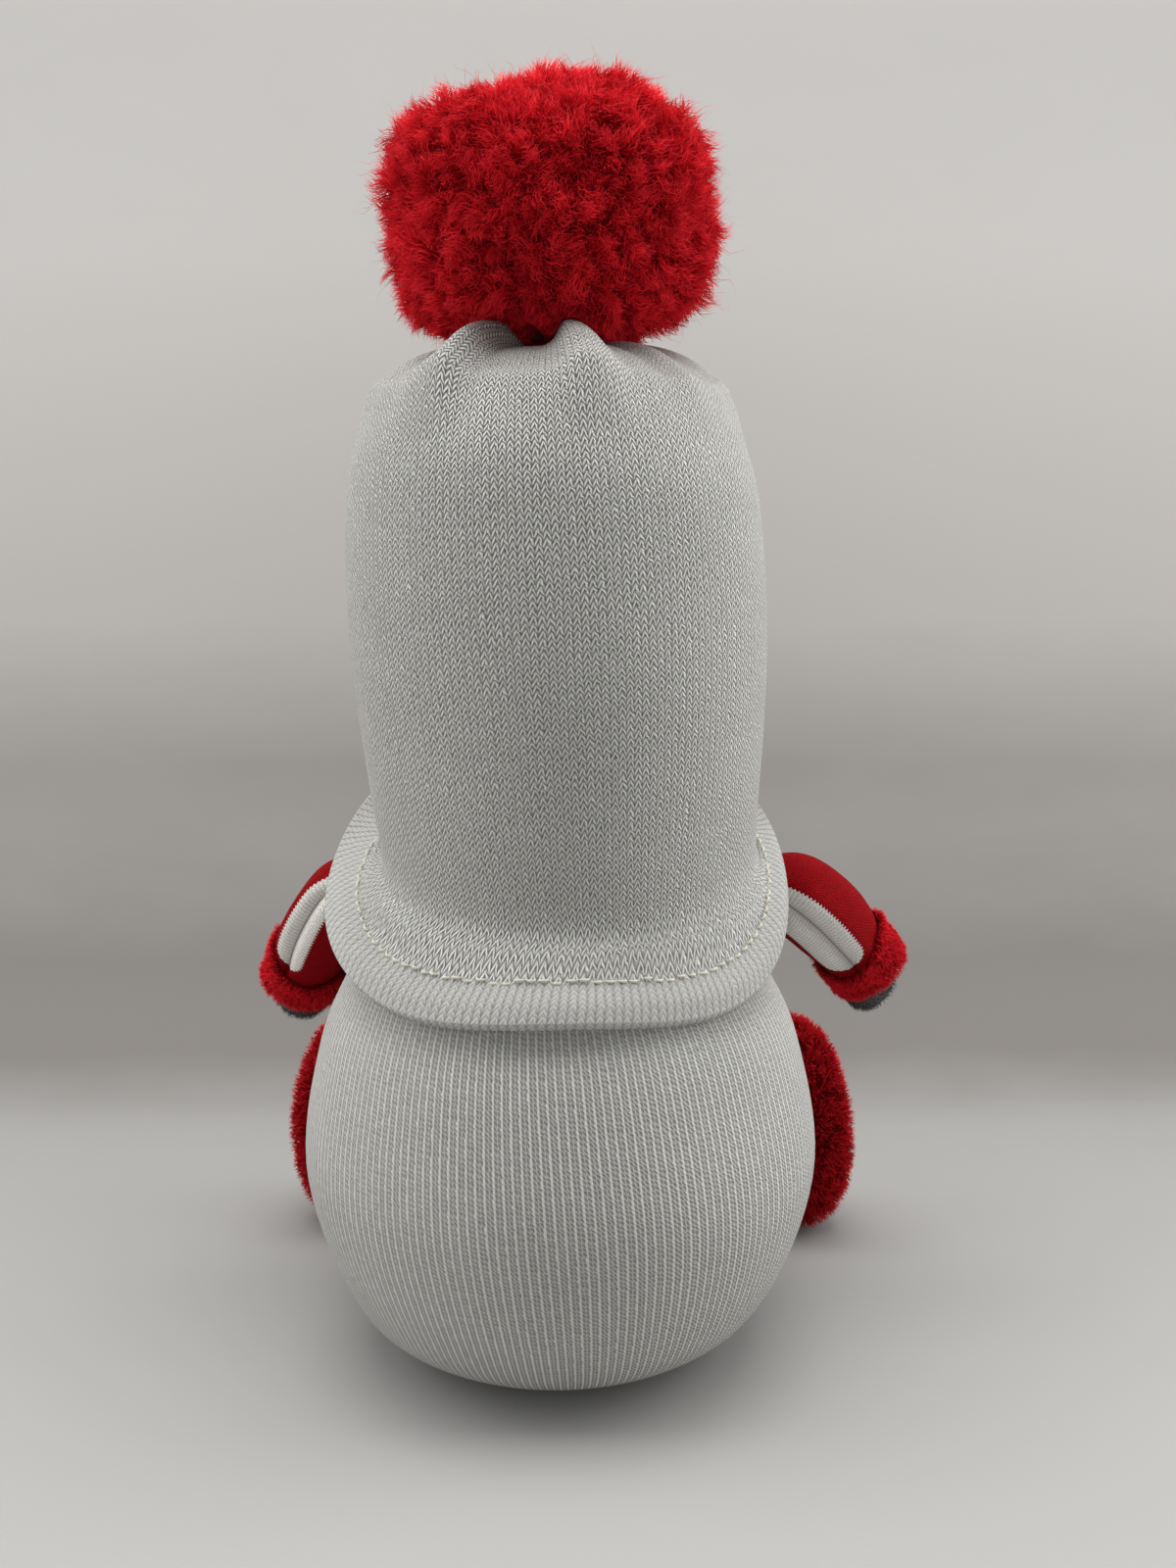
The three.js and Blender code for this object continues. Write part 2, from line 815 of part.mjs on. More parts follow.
function legHole(leg) {
  const start = legPoint(leg, hipDistance - legRadius);
  const end = legPoint(leg, hipDistance + legLength + touchGap);
  const radius = legRadius + touchGap;
  const stations = [[0, radius], [start.distanceTo(end), radius]];
  const path = new THREE.LineCurve3(start, end);
  return toSolid(closedSurface(limbRings(path, stations, limbFacets), 'fans'));
}

function makeBootFur(leg) {
  const outer = bootSolid(leg, 0, bootFacets);
  const shell = outer.subtract(bootSolid(leg, bootPileThickness, limbFacets));
  return toGeometry(shell.subtract(legHole(leg)));
}

function makeBootStuffing(leg) {
  const filling = bootSolid(leg, bootPileThickness + touchGap, limbFacets);
  return toGeometry(filling.subtract(legHole(leg)));
}

// Assembly

const figure = new THREE.Group();

function addPiece(name, geometry, material) {
  const mesh = new THREE.Mesh(geometry, material);
  mesh.name = name;
  figure.add(mesh);
}

addPiece('body_sock', makeBodySock(), knitWhite());
addPiece('body_stuffing', makeBodyStuffing(), fibreFill());
addPiece('pellet_bag', makePelletBag(), fibreFill());
addPiece('neck_tie', makeNeckTie(), cottonThread());
addPiece('hat_sock', makeHatSock(), knitWhite());
addPiece('hat_stuffing', makeHatStuffing(), fibreFill());
addPiece('hem_stitching', makeHemStitching(), cottonThread());
addPiece('crown_thread', makeCrownThread(), cottonThread());
addPiece('pompom_fur', makePompomFur(), furRed());
addPiece('pompom_stuffing', makePompomStuffing(), fibreFill());
addPiece('pompom_tie', makePompomTie(), cottonThread());
addPiece('nose_cover', makeNoseCover(), skinJersey());
addPiece('nose_stuffing', makeNoseStuffing(), fibreFill());
addPiece('beard_backing', makeBeardBacking(), furWhite());
addPiece('beard_pile', makeBeardPile(), furWhite());

for (const [word, arm] of [['left', leftArm], ['right', rightArm]]) {
  addPiece(`sleeve_${word}`, makeSleeve(arm), knitRed());
  addPiece(`sleeve_stuffing_${word}`, makeSleeveStuffing(arm), fibreFill());
  addPiece(`cuff_${word}`, makeCuff(arm), furRed());
  addPiece(`mitten_${word}`, makeMitten(arm), fleeceGrey());
  addPiece(`shoulder_pad_${word}`, makeShoulderPad(arm), knitRed());
}

for (const [word, leg] of [['left', leftLeg], ['right', rightLeg]]) {
  addPiece(`leg_${word}`, makeLeg(leg), knitRed());
  addPiece(`boot_fur_${word}`, makeBootFur(leg), furRed());
  addPiece(`boot_stuffing_${word}`, makeBootStuffing(leg), fibreFill());
}

export default figure;
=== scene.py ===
import math
import bpy
import numpy as np
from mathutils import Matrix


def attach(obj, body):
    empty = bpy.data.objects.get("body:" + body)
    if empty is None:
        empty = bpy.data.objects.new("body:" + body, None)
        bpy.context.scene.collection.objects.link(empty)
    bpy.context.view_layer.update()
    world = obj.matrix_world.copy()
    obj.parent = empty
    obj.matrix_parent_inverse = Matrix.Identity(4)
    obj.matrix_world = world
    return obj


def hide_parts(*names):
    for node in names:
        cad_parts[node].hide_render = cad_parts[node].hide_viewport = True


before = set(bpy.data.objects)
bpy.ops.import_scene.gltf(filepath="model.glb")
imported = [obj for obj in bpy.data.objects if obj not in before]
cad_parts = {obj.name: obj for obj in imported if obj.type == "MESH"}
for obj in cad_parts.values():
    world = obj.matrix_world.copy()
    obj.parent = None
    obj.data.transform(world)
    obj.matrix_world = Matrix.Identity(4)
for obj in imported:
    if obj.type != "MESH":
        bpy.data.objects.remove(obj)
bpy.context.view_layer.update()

scene = bpy.context.scene
scene.view_settings.view_transform = "Standard"


# Camera
# The figure is seen from behind, at the height of its hat, with the camera tipped
# down a little and turned so that the figure stands left of the middle.

camera_data = bpy.data.cameras.new("camera")
camera_data.lens = 32.6
camera_data.clip_start = 0.01
camera_data.clip_end = 20
camera = bpy.data.objects.new("camera", camera_data)
camera.location = (0, 0.365, 0.190)
camera.rotation_euler = (math.radians(90 - 7), 0, math.radians(180 - 1.22))
scene.collection.objects.link(camera)
scene.camera = camera


# Floor, backdrop and lamps
# A sheet of pale paper lies under the figure and curves up close behind it, as in a small
# light box; from its back it is see-through. Large soft lamps stand above and at both sides,
# and a weak one near the camera.

def add(tree, kind, *inputs, **settings):
    """Adds a node, sets or links its inputs in order, and returns its first output."""
    made = tree.nodes.new(kind)
    for name, value in settings.items():
        setattr(made, name, value)
    for place, value in zip(made.inputs, inputs):
        if isinstance(value, bpy.types.NodeSocket):
            tree.links.new(value, place)
        elif value is not None:
            place.default_value = value
    return made.outputs[0]


def calc(tree, operation, *inputs):
    return add(tree, "ShaderNodeMath", *inputs, operation=operation)


def times(tree, value, by):
    return calc(tree, "MULTIPLY", value, by)


def times_plus(tree, value, by, more):
    """A value times another, plus a third."""
    return calc(tree, "MULTIPLY_ADD", value, by, more)


def tint(tree, value, stops):
    """Colours a value by a ramp of (place, red, green, blue)."""
    ramp = tree.nodes.new("ShaderNodeValToRGB")
    tree.links.new(value, ramp.inputs[0])
    while len(ramp.color_ramp.elements) < len(stops):
        ramp.color_ramp.elements.new(0.5)
    for element, (place, *colour) in zip(ramp.color_ramp.elements, stops):
        element.position = place
        element.color = (*colour, 1)
    return ramp.outputs[0]


def new_finish(name, roughness, sockets=()):
    """A new material with plain values on its surface shader, its node tree, and the shader."""
    finish = bpy.data.materials.new(name)
    finish.use_nodes = True
    surface = finish.node_tree.nodes["Principled BSDF"]
    for socket, value in dict(sockets, Roughness=roughness).items():
        surface.inputs[socket].default_value = value
    return finish, finish.node_tree, surface


def cover(surface, colour, bump=None, roughness=None):
    """Links what varies over a piece to its surface shader."""
    for socket, source in (("Base Color", colour), ("Normal", bump), ("Roughness", roughness)):
        if source is not None:
            surface.id_data.links.new(source, surface.inputs[socket])


def map_place(tree):
    """The place on the piece's own map: once round it, once along it, and the two together."""
    place = add(tree, "ShaderNodeUVMap", uv_map="OFBake")
    parts = add(tree, "ShaderNodeSeparateXYZ", place).node.outputs
    return parts[0], parts[1], place


def make_piece(mesh, corner_map, finish):
    """Makes a piece of a mesh, with its map and its finish, smooth all over."""
    mesh.uv_layers.new(name="OFBake").data.foreach_set("uv", np.asarray(corner_map, float).ravel())
    mesh.shade_smooth()
    mesh.materials.append(finish)
    piece = bpy.data.objects.new(mesh.name, mesh)
    scene.collection.objects.link(piece)
    return piece


def mesh_piece(name, points, faces, corner_map, finish):
    """Makes a piece from points and faces in metres."""
    mesh = bpy.data.meshes.new(name)
    mesh.from_pydata(points, [], faces)
    return make_piece(mesh, corner_map, finish)


paper, paper_tree, paper_surface = new_finish("paper", 0.75)
_, paper_along, _ = map_place(paper_tree)
paper_grain = add(paper_tree, "ShaderNodeTexNoise", None, None, 60.0, 4.0)
# Along the sheet lie the floor, the bend and the wall. The floor darkening into the bend, the dark
# bend and the wall darkening towards its top are painted shade in the paper's colour.
paper_tones_and_painted_shade = [
    (0.0, 0.400, 0.398, 0.391), (0.53, 0.372, 0.370, 0.364), (0.588, 0.255, 0.251, 0.245),
    (0.605, 0.146, 0.137, 0.130), (0.622, 0.146, 0.137, 0.130),
    (0.668, 0.410, 0.396, 0.384), (0.716, 0.412, 0.403, 0.392), (0.745, 0.340, 0.332, 0.324),
]
paper_spot = times_plus(paper_tree, paper_grain, 0.006, paper_along)
cover(paper_surface, tint(paper_tree, paper_spot, paper_tones_and_painted_shade))
from_back = paper_tree.nodes.new("ShaderNodeNewGeometry").outputs["Backfacing"]
paper_seen = add(paper_tree, "ShaderNodeMixShader", from_back, paper_surface.outputs[0],
                 add(paper_tree, "ShaderNodeBsdfTransparent"))
paper_tree.links.new(paper_seen, paper_tree.nodes["Material Output"].inputs[0])

paper_front, bend_start, bend_radius, paper_top, paper_width = 1.8, -0.16, 0.12, 1.3, 3.0
paper_line = [(y, 0.0) for y in np.linspace(paper_front, bend_start, 41)]
paper_line += [(bend_start - bend_radius * math.sin(turn), bend_radius * (1 - math.cos(turn)))
               for turn in np.linspace(0, math.pi / 2, 25)[1:]]
paper_line += [(bend_start - bend_radius, z) for z in np.linspace(bend_radius, paper_top, 21)[1:]]
paper_line = np.array(paper_line)
paper_run = np.concatenate([[0], np.hypot(*np.diff(paper_line, axis=0).T).cumsum()])
paper_run /= paper_run[-1]
paper_points = [(side * paper_width / 2, y, z) for y, z in paper_line for side in (-1, 1)]
paper_faces = [(2 * i + 1, 2 * i, 2 * i + 2, 2 * i + 3) for i in range(len(paper_line) - 1)]
paper_map = [(x, paper_run[i + up]) for i in range(len(paper_line) - 1)
             for x, up in ((1, 0), (0, 0), (0, 1), (1, 1))]
paper_sheet = mesh_piece("paper_sweep", paper_points, paper_faces, paper_map, paper)

world = bpy.data.worlds.new("room")
world.use_nodes = True
scene.world = world
room_tree = world.node_tree
room_light = room_tree.nodes["Background"]
room_light.inputs[0].default_value = (1.0, 0.995, 0.98, 1)
room_light.inputs[1].default_value = 0.20
room_seen = add(room_tree, "ShaderNodeBackground", (0.72, 0.715, 0.70, 1), 1.0)
seen_by_camera = room_tree.nodes.new("ShaderNodeLightPath")
room_mix = add(room_tree, "ShaderNodeMixShader", seen_by_camera.outputs["Is Camera Ray"],
               room_light.outputs[0], room_seen)
room_tree.links.new(room_mix, room_tree.nodes["World Output"].inputs[0])


def hang_lamp(name, power, width, height, place, aim):
    """A soft rectangular lamp that the camera doesn't see, turned to what it lights."""
    lamp_data = bpy.data.lights.new(name, "AREA")
    lamp_data.shape = "RECTANGLE"
    lamp_data.size, lamp_data.size_y = width, height
    lamp_data.energy = power
    lamp_data.color = (1.0, 0.995, 0.985)
    lamp = bpy.data.objects.new(name, lamp_data)
    lamp.location = place
    towards = camera.location.copy()
    towards.xyz = [a - p for a, p in zip(aim, place)]
    lamp.rotation_euler = towards.to_track_quat("-Z", "Y").to_euler()
    lamp.visible_camera = False
    scene.collection.objects.link(lamp)


hang_lamp("lamp_above", 7.6, 0.9, 0.50, (0.0, 0.0, 0.80), (0, 0, 0.15))
hang_lamp("lamp_left", 4.4, 0.5, 0.8, (0.75, -0.05, 0.40), (0, 0, 0.15))
hang_lamp("lamp_right", 4.8, 0.5, 0.8, (-0.75, -0.05, 0.40), (0, 0, 0.15))
hang_lamp("lamp_front", 1.35, 0.8, 0.4, (0.0, 0.9, 0.20), (0, 0, 0.06))


# Body
# A white cotton sock filled with fibre over a bag of pellets. It swells above a flat seat
# and is drawn in at the neck, where a cord ties it shut under the hat.

millimetre = 0.001


def smooth_line(stations, steps):
    """A smooth line through rows of numbers, cut into equal steps between them."""
    stations = np.array(stations, float)
    last = len(stations) - 1
    place = np.linspace(0, last, steps + 1)
    i = np.minimum(place.astype(int), last - 1)
    f = (place - i)[:, None]
    a, b = stations[np.maximum(i - 1, 0)], stations[i]
    c, d = stations[i + 1], stations[np.minimum(i + 2, last)]
    return b + 0.5 * f * (c - a + f * (2 * a - 5 * b + 4 * c - d + f * (3 * (b - c) + d - a)))


def rise(low, high, value):
    """Goes smoothly from 0 at low to 1 at high."""
    share = np.clip((np.asarray(value, float) - low) / (high - low), 0, 1)
    return share * share * (3 - 2 * share)


def turns_round(count):
    """Angles spaced evenly round a piece."""
    return np.arange(count) * math.tau / count


def waves(seed, count, *directions):
    """A smooth random swelling of about -1 to 1, from waves that run in seeded directions."""
    dice = np.random.default_rng(seed)
    total = 0
    for _ in range(count):
        push = dice.uniform(-1, 1, len(directions))
        total = total + np.sin(sum(k * d for k, d in zip(push, directions)) + dice.uniform(0, 7))
    return total / count ** 0.5


def waves_round(seed, count, breadth, turn, *along):
    """The same on a round piece, by the angle round it and the place along it."""
    return waves(seed, count, breadth * np.cos(turn), breadth * np.sin(turn), *along)


def share_along(rings):
    """How far along a skin each of its rings lies, from 0 to 1."""
    step = np.linalg.norm(np.diff(rings, axis=0), axis=2).mean(1)
    return np.concatenate([[0], step.cumsum()]) / step.sum()


def sew_skin(name, rings, finish, shut=(True, True)):
    """Joins rings of points in millimetres into a skin, shut at its ends by small rounds."""
    rings = np.asarray(rings) * millimetre
    along, around = rings.shape[:2]
    run = share_along(rings)
    points = rings.reshape(-1, 3).tolist()
    faces, corner_map = [], []
    for i in range(along - 1):
        for j in range(around):
            k = (j + 1) % around
            faces.append((i * around + j, i * around + k, (i + 1) * around + k, (i + 1) * around + j))
            left, right = j / around, (j + 1) / around
            corner_map += [(left, run[i]), (right, run[i]), (right, run[i + 1]), (left, run[i + 1])]
    for end, wanted in ((0, shut[0]), (along - 1, shut[1])):
        if wanted:
            middle = len(points)
            points.append(rings[end].mean(0).tolist())
            for j in range(around):
                k = (j + 1) % around
                edge = (end * around + j, end * around + k)
                faces.append((*edge[::-1], middle) if end == 0 else (*edge, middle))
                left, right, high = j / around, (j + 1) / around, run[end]
                sides = [(right, high), (left, high)] if end == 0 else [(left, high), (right, high)]
                corner_map += [*sides, ((left + right) / 2, high)]
    return mesh_piece(name, points, faces, corner_map, finish)


def stuff_firmly(piece, held, most):
    """Blows a sewn skin up by cloth simulation. Held points stay, and the rest move by at most
    so many millimetres."""
    group = piece.vertex_groups.new(name="held")
    for index, weight in enumerate(held):
        if weight > 0:
            group.add([index], float(weight), "REPLACE")
    start = np.empty(len(piece.data.vertices) * 3)
    piece.data.vertices.foreach_get("co", start)
    cloth = piece.modifiers.new("cloth", "CLOTH")
    cloth.settings.quality = 5
    cloth.settings.use_pressure = True
    cloth.settings.uniform_pressure_force = 4.0
    cloth.settings.effector_weights.gravity = 0
    cloth.settings.vertex_group_mass = "held"
    cloth.collision_settings.use_collision = False
    for moment in range(1, 21):
        scene.frame_set(moment)
    blown = piece.evaluated_get(bpy.context.evaluated_depsgraph_get())
    end = np.empty(len(start))
    blown.data.vertices.foreach_get("co", end)
    moved = (end - start).reshape(-1, 3)
    reach = np.linalg.norm(moved, axis=1, keepdims=True)
    moved *= np.minimum(1, most * millimetre / np.maximum(reach, 1e-9))
    piece.data.vertices.foreach_set("co", (start.reshape(-1, 3) + moved).ravel())
    piece.modifiers.remove(cloth)
    piece.vertex_groups.remove(group)
    piece.data.update()
    scene.frame_set(1)


def mix(tree, share, first, second, **settings):
    return add(tree, "ShaderNodeMixRGB", share, first, second, **settings)


def relief_of(tree, height, depth, strength=1.0):
    """Relief that is as deep as given, in metres."""
    return add(tree, "ShaderNodeBump", strength, depth, 1.0, height)


def chance(tree, number):
    """A number from 0 to 1 that differs from one whole number to the next."""
    which = add(tree, "ShaderNodeTexWhiteNoise", noise_dimensions="1D")
    tree.links.new(calc(tree, "FLOOR", number), which.node.inputs["W"])
    return which


def knit_finish(name, yarn, hollow_shade, wales, courses, across=False, relief=0.35, gloss=0.15,
                lint=False, calm=None, slant=1.1, drawn=0.0, twist=0.0):
    """Plain knit: columns of stitches whose two legs meet at the top, with hollows between them
    painted dark as shade. Wales are counted round the piece and courses along it, or the other
    way with across. Calm lists places along the piece and how far the stitches there close up into
    fine ribs, coloured as the yarn darkened by painted shade. Drawn is how far the stitches are
    pulled into upright lines, and twist how many wales they lean."""
    finish, tree, surface = new_finish(name, 0.92, {"Specular IOR Level": gloss})
    around, along, place = map_place(tree)
    if across:
        around, along = along, around

    # The stitch that a point lies on. Hand and machine leave the columns a little uneven.
    drift = add(tree, "ShaderNodeTexNoise", place, None, 9.0, 3.0, 0.5)
    quiver = add(tree, "ShaderNodeTexNoise", place, None, 150.0, 2.0, 0.6)
    sway = times(tree, quiver, 0.55 - 0.35 * drawn)
    wale = times_plus(tree, along, twist, times_plus(tree, around, wales, sway))
    step = times_plus(tree, drift, 3.0, times(tree, quiver, 0.8))
    course = times_plus(tree, along, courses, step)
    course = times_plus(tree, chance(tree, wale), 0.45, course)
    across_wale = calc(tree, "SUBTRACT", calc(tree, "FRACT", wale), 0.5)
    half = times(tree, calc(tree, "ABSOLUTE", across_wale), 2.0)

    # The height of the yarn across the stitch's two legs, and along its slanted loops.
    from_leg = times_plus(tree, half, 1.52, -0.70)
    leg = times_plus(tree, from_leg, times(tree, from_leg, -1.0), 1.0)
    leg = calc(tree, "POWER", calc(tree, "MAXIMUM", leg, 0.0), 0.8)
    loop = calc(tree, "PINGPONG", times_plus(tree, half, slant, course), 0.5)
    loop = calc(tree, "POWER", times(tree, loop, 2.0), 1.15)
    yarn_height = times(tree, leg, times_plus(tree, loop, 0.82, 0.18))
    if drawn:
        line = times_plus(tree, half, -3.0, times_plus(tree, quiver, 0.9, 0.62))
        line = calc(tree, "MINIMUM", calc(tree, "MAXIMUM", line, 0.0), 0.7)
        between = calc(tree, "MAXIMUM", times_plus(tree, half, 2.0, -1.5), 0.0)
        strokes = calc(tree, "PINGPONG", times_plus(tree, across_wale, 1.6, course), 0.5)
        pulled = calc(tree, "ADD", line, times_plus(tree, between, 0.7, 0.06))
        pulled = times_plus(tree, strokes, 0.85, pulled)
        pulled = calc(tree, "SUBTRACT", pulled, yarn_height)
        yarn_height = times_plus(tree, pulled, drawn, yarn_height)

    # The colour goes from painted shade in the hollows to the yarn, with fuzz, ribs darkened by
    # painted shade, clouds and bits of lint.
    fuzz = add(tree, "ShaderNodeTexNoise", place, None, 700.0, 3.0, 0.7)
    height = times_plus(tree, fuzz, 0.25, yarn_height)
    depth = tint(tree, times_plus(tree, quiver, 0.2, yarn_height), [
        (0.22, *hollow_shade),
        (0.60, *[0.5 * h + 0.5 * y for h, y in zip(hollow_shade, yarn)]),
        (0.95, *yarn),
    ])
    if calm:
        calmed = tint(tree, along, [(at, amount, amount, amount) for at, amount in calm])
        # Painted shade: where the stitches calm into ribs, the colour is the yarn darkened.
        rib = times(tree, times_plus(tree, quiver, 0.5, half), 0.7)
        ribs = tint(tree, rib, [(0.28, *[0.56 * y for y in yarn]), (0.95, *[0.32 * y for y in yarn])])
        depth = mix(tree, calmed, depth, ribs)
        rib_height = times_plus(tree, fuzz, 0.25, times_plus(tree, half, -0.2, 0.7))
        height = mix(tree, calmed, height, rib_height)
    cloud = tint(tree, drift, [(0.3, 0.92, 0.92, 0.92), (0.7, 1.0, 1.0, 1.0)])
    shade = mix(tree, 1.0, depth, cloud, blend_type="MULTIPLY")
    if lint:
        speck = add(tree, "ShaderNodeTexVoronoi", place, None, 26.0)
        kind = add(tree, "ShaderNodeSeparateColor", speck.node.outputs["Color"])
        chosen = times(tree, calc(tree, "LESS_THAN", speck, 0.045),
                      calc(tree, "GREATER_THAN", kind, 0.72))
        shade = mix(tree, times(tree, chosen, 0.45), shade, (0.36, 0.16, 0.10, 1))
    cover(surface, shade, relief_of(tree, height, relief * millimetre),
          times_plus(tree, yarn_height, -0.1, 0.97))
    return finish


body_outline = smooth_line([
    (0.5, 0), (20, 0), (36, 0.6), (55, 13), (67, 46), (62.5, 79),
    (53.5, 99), (42, 117), (40, 130), (28, 138), (7, 141),
], 88)
body_around = 168
body_angle = turns_round(body_around)
neck_shift = -3


def body_shift(height):
    return neck_shift * rise(99, 117, height)


def body_ring(radius, height):
    swell = 0.45 * waves_round(11, 7, 2.2, body_angle, height / 26)
    radius = radius + swell * rise(4, 22, height) * (1 - rise(90, 100, height))
    return np.stack([radius * np.cos(body_angle) + body_shift(height),
                     radius * np.sin(body_angle),
                     np.full(body_around, height)], axis=1)


body_wales, body_courses = 190, 184
body_knit = knit_finish("white_body_knit", (0.66, 0.656, 0.632), (0.20, 0.198, 0.188),
                        body_wales, body_courses, relief=0.22, lint=True,
                        slant=2.0, drawn=0.85, twist=7.0)
body_rings = [body_ring(radius, height) for radius, height in body_outline]
body_skin = sew_skin("body_sock_skin", body_rings, body_knit)
body_height = np.repeat([height for _, height in body_outline], body_around)
body_held = np.append(1 - rise(2, 12, body_height) * (1 - rise(92, 104, body_height)), [1, 1])
stuff_firmly(body_skin, body_held, most=1.5)
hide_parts("body_sock")
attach(body_skin, "body")


# Hat
# A second white sock, stuffed as a tall tube. Its open end flares over the shoulders and ends
# in a doubled hem, lower at the back; its toe is gathered in pleats under the fur ball.

hat_around = 216
hat_angle = turns_round(hat_around)
crown_shift = 2.2
hem_radius, hem_height, hem_drop, hem_squareness, hem_band = 59, 122, 23.8, 0.8, 13
waist_height, waist_drop = 129, 12
crown_edge = 240
knit_thickness, hem_thickness = 1.3, 2.6
hat_side = smooth_line([
    (45, 117), (49.5, 143), (53, 186), (51, 222), (44.5, 240), (28, 250.5), (6, 252),
], 180)
# Each pleat of the toe: its angle in degrees, its height, and its width on either side.
crown_pleats = [
    (57, 6.0, 12, 5), (78, -0.9, 9, 9), (100, 5.8, 5, 13), (140, 1.8, 9, 12), (170, 3.0, 12, 6),
    (206, 2.6, 7, 12), (247, 3.1, 11, 6), (288, 2.7, 6, 12), (331, 3.0, 12, 7), (12, 2.3, 8, 10),
]


def hat_meridian(angle):
    """The outside of the hat at one angle, from its hem to its gathered toe, as rows of
    radius, height and sideways shift."""
    back = math.sin(angle)
    edge_height = hem_height - hem_drop * back * (1 + hem_squareness * (1 - back ** 2))
    waist = waist_height - waist_drop * back
    waist_radius = np.interp(waist, hat_side[:, 1], hat_side[:, 0])
    flare = math.hypot(hem_radius - waist_radius, edge_height - waist)
    band = hem_band / (flare + hem_band / 2)
    rows = []
    for share, puff in ((0, 0.2), (band / 2, 1.1), (band, -0.2), ((1 + band) / 2, 0.7), (1, 0.9)):
        radius = hem_radius + (waist_radius - hem_radius) * share
        rows.append((radius + puff, edge_height + (waist - edge_height) * share, neck_shift * share))
    for share in (0.12, 0.3, 0.5, 0.7, 0.86, 1):
        height = waist + (crown_edge - waist) * share
        lean = (height - hat_side[0, 1]) / (crown_edge - hat_side[0, 1])
        radius = np.interp(height, hat_side[:, 1], hat_side[:, 0])
        rows.append((radius, height, neck_shift + (crown_shift - neck_shift) * lean))
    for radius, height in ((39, 244.4), (32.5, 248.6), (24.5, 251.3), (15, 252.2), (6.5, 251.4)):
        rows.append((radius, height, crown_shift))
    return smooth_line(rows, 8 * (len(rows) - 1))


stitch_row, waist_row = 16, 32


def hat_rings(inset, count):
    """Rings of the hat, set in by a thickness, with the crown's pleats and the wavy hem."""
    lines = np.array([hat_meridian(angle) for angle in hat_angle])
    along = np.gradient(lines, axis=1)
    length = np.hypot(along[..., 0], along[..., 1])
    share = np.linspace(0, 1, lines.shape[1])[None, :]
    radius = lines[..., 0] - inset * along[..., 1] / length
    height = lines[..., 1] + inset * along[..., 0] / length
    turn = hat_angle[:, None]

    toe = rise(226, 248, lines[..., 1]) * rise(6, 17, lines[..., 0])
    ridge = 0.35 * np.cos(23 * turn + 1)
    for place, tall, steep_side, gentle_side in crown_pleats:
        apart = (np.degrees(turn) - place + 180) % 360 - 180
        width = np.where(apart > 0, gentle_side, steep_side)
        ridge = ridge + tall * np.exp(-(apart / width) ** 2)
    ridge = np.maximum(ridge, -0.3)
    slack = waves_round(5, 8, 2.4, turn, 9 * share) * rise(0.0, 0.1, share)
    wave = waves_round(8, 6, 5, turn)
    near_hem = 1 - rise(0.02, 0.22, share)
    radius = radius + 0.45 * toe * ridge + 0.55 * slack + 0.8 * wave * near_hem
    height = height + 0.95 * toe * ridge + 1.0 * np.roll(wave, 9, axis=0) * near_hem
    rings = np.stack([radius * np.cos(turn) + lines[..., 2], radius * np.sin(turn), height], axis=2)
    return rings.transpose(1, 0, 2)[:count]


hat_outside = hat_rings(0, 200)
hem_inside = hat_rings(hem_thickness, stitch_row + 1)
flare_inside = hat_rings(knit_thickness, waist_row)[stitch_row + 1:]
hem_roll = [(hat_outside[0] + hem_inside[0]) / 2 - np.array([0, 0, 1.1])]
hat_inside = np.concatenate([hem_inside, flare_inside])[::-1]
hat_layers = np.concatenate([hat_inside, hem_roll, hat_outside])
hat_share = share_along(hat_layers)
fold, hem_end, flare_end = hat_share[len(hat_inside) + np.array([0, 1 + stitch_row, 1 + waist_row])]
hat_wales, hat_courses = 172, 138
# Painted shade: the doubled hem's calm ribs are the white yarn darkened.
hat_knit = knit_finish("white_hat_knit", (0.84, 0.835, 0.805), (0.12, 0.119, 0.112),
                       hat_wales, hat_courses, relief=0.42, lint=True,
                       calm=[(fold - 0.02, 0.75), (hem_end - 0.004, 0.72), (hem_end + 0.004, 0.12),
                             (flare_end, 0.0)])
hat_skin = sew_skin("hat_sock_skin", hat_layers, hat_knit, shut=(False, True))
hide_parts("hat_sock")
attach(hat_skin, "body")


# Hem stitching
# A row of cream cotton stitches along the top of the doubled hem, sewn by hand, each a short
# length of thread that dips into the knit at both ends.

def mottled_finish(name, roughness, kind, numbers, stops, depth, strength=1.0,
                   inside=False, napped=False, sockets=()):
    """A finish whose colour and relief follow one texture. It is laid on the piece's own map,
    and on a piece inside the figure it runs through the stuff. A nap is rougher where it stands."""
    finish, tree, surface = new_finish(name, roughness, sockets)
    place = tree.nodes.new("ShaderNodeTexCoord").outputs["Object"] if inside else map_place(tree)[2]
    pattern = add(tree, "ShaderNodeTex" + kind, place, *numbers)
    cover(surface, tint(tree, pattern, stops), relief_of(tree, pattern, depth, strength),
          times_plus(tree, pattern, 0.1, 0.88) if napped else None)
    return finish


thread = mottled_finish("cream_thread", 0.8, "Wave", (24.0, 1.5, 2.0, 1.0),
                        [(0.1, 0.56, 0.52, 0.40), (0.8, 0.80, 0.77, 0.66)], 0.0001, 0.6)
hem_line = hat_rings(-0.25, stitch_row + 1)[stitch_row]


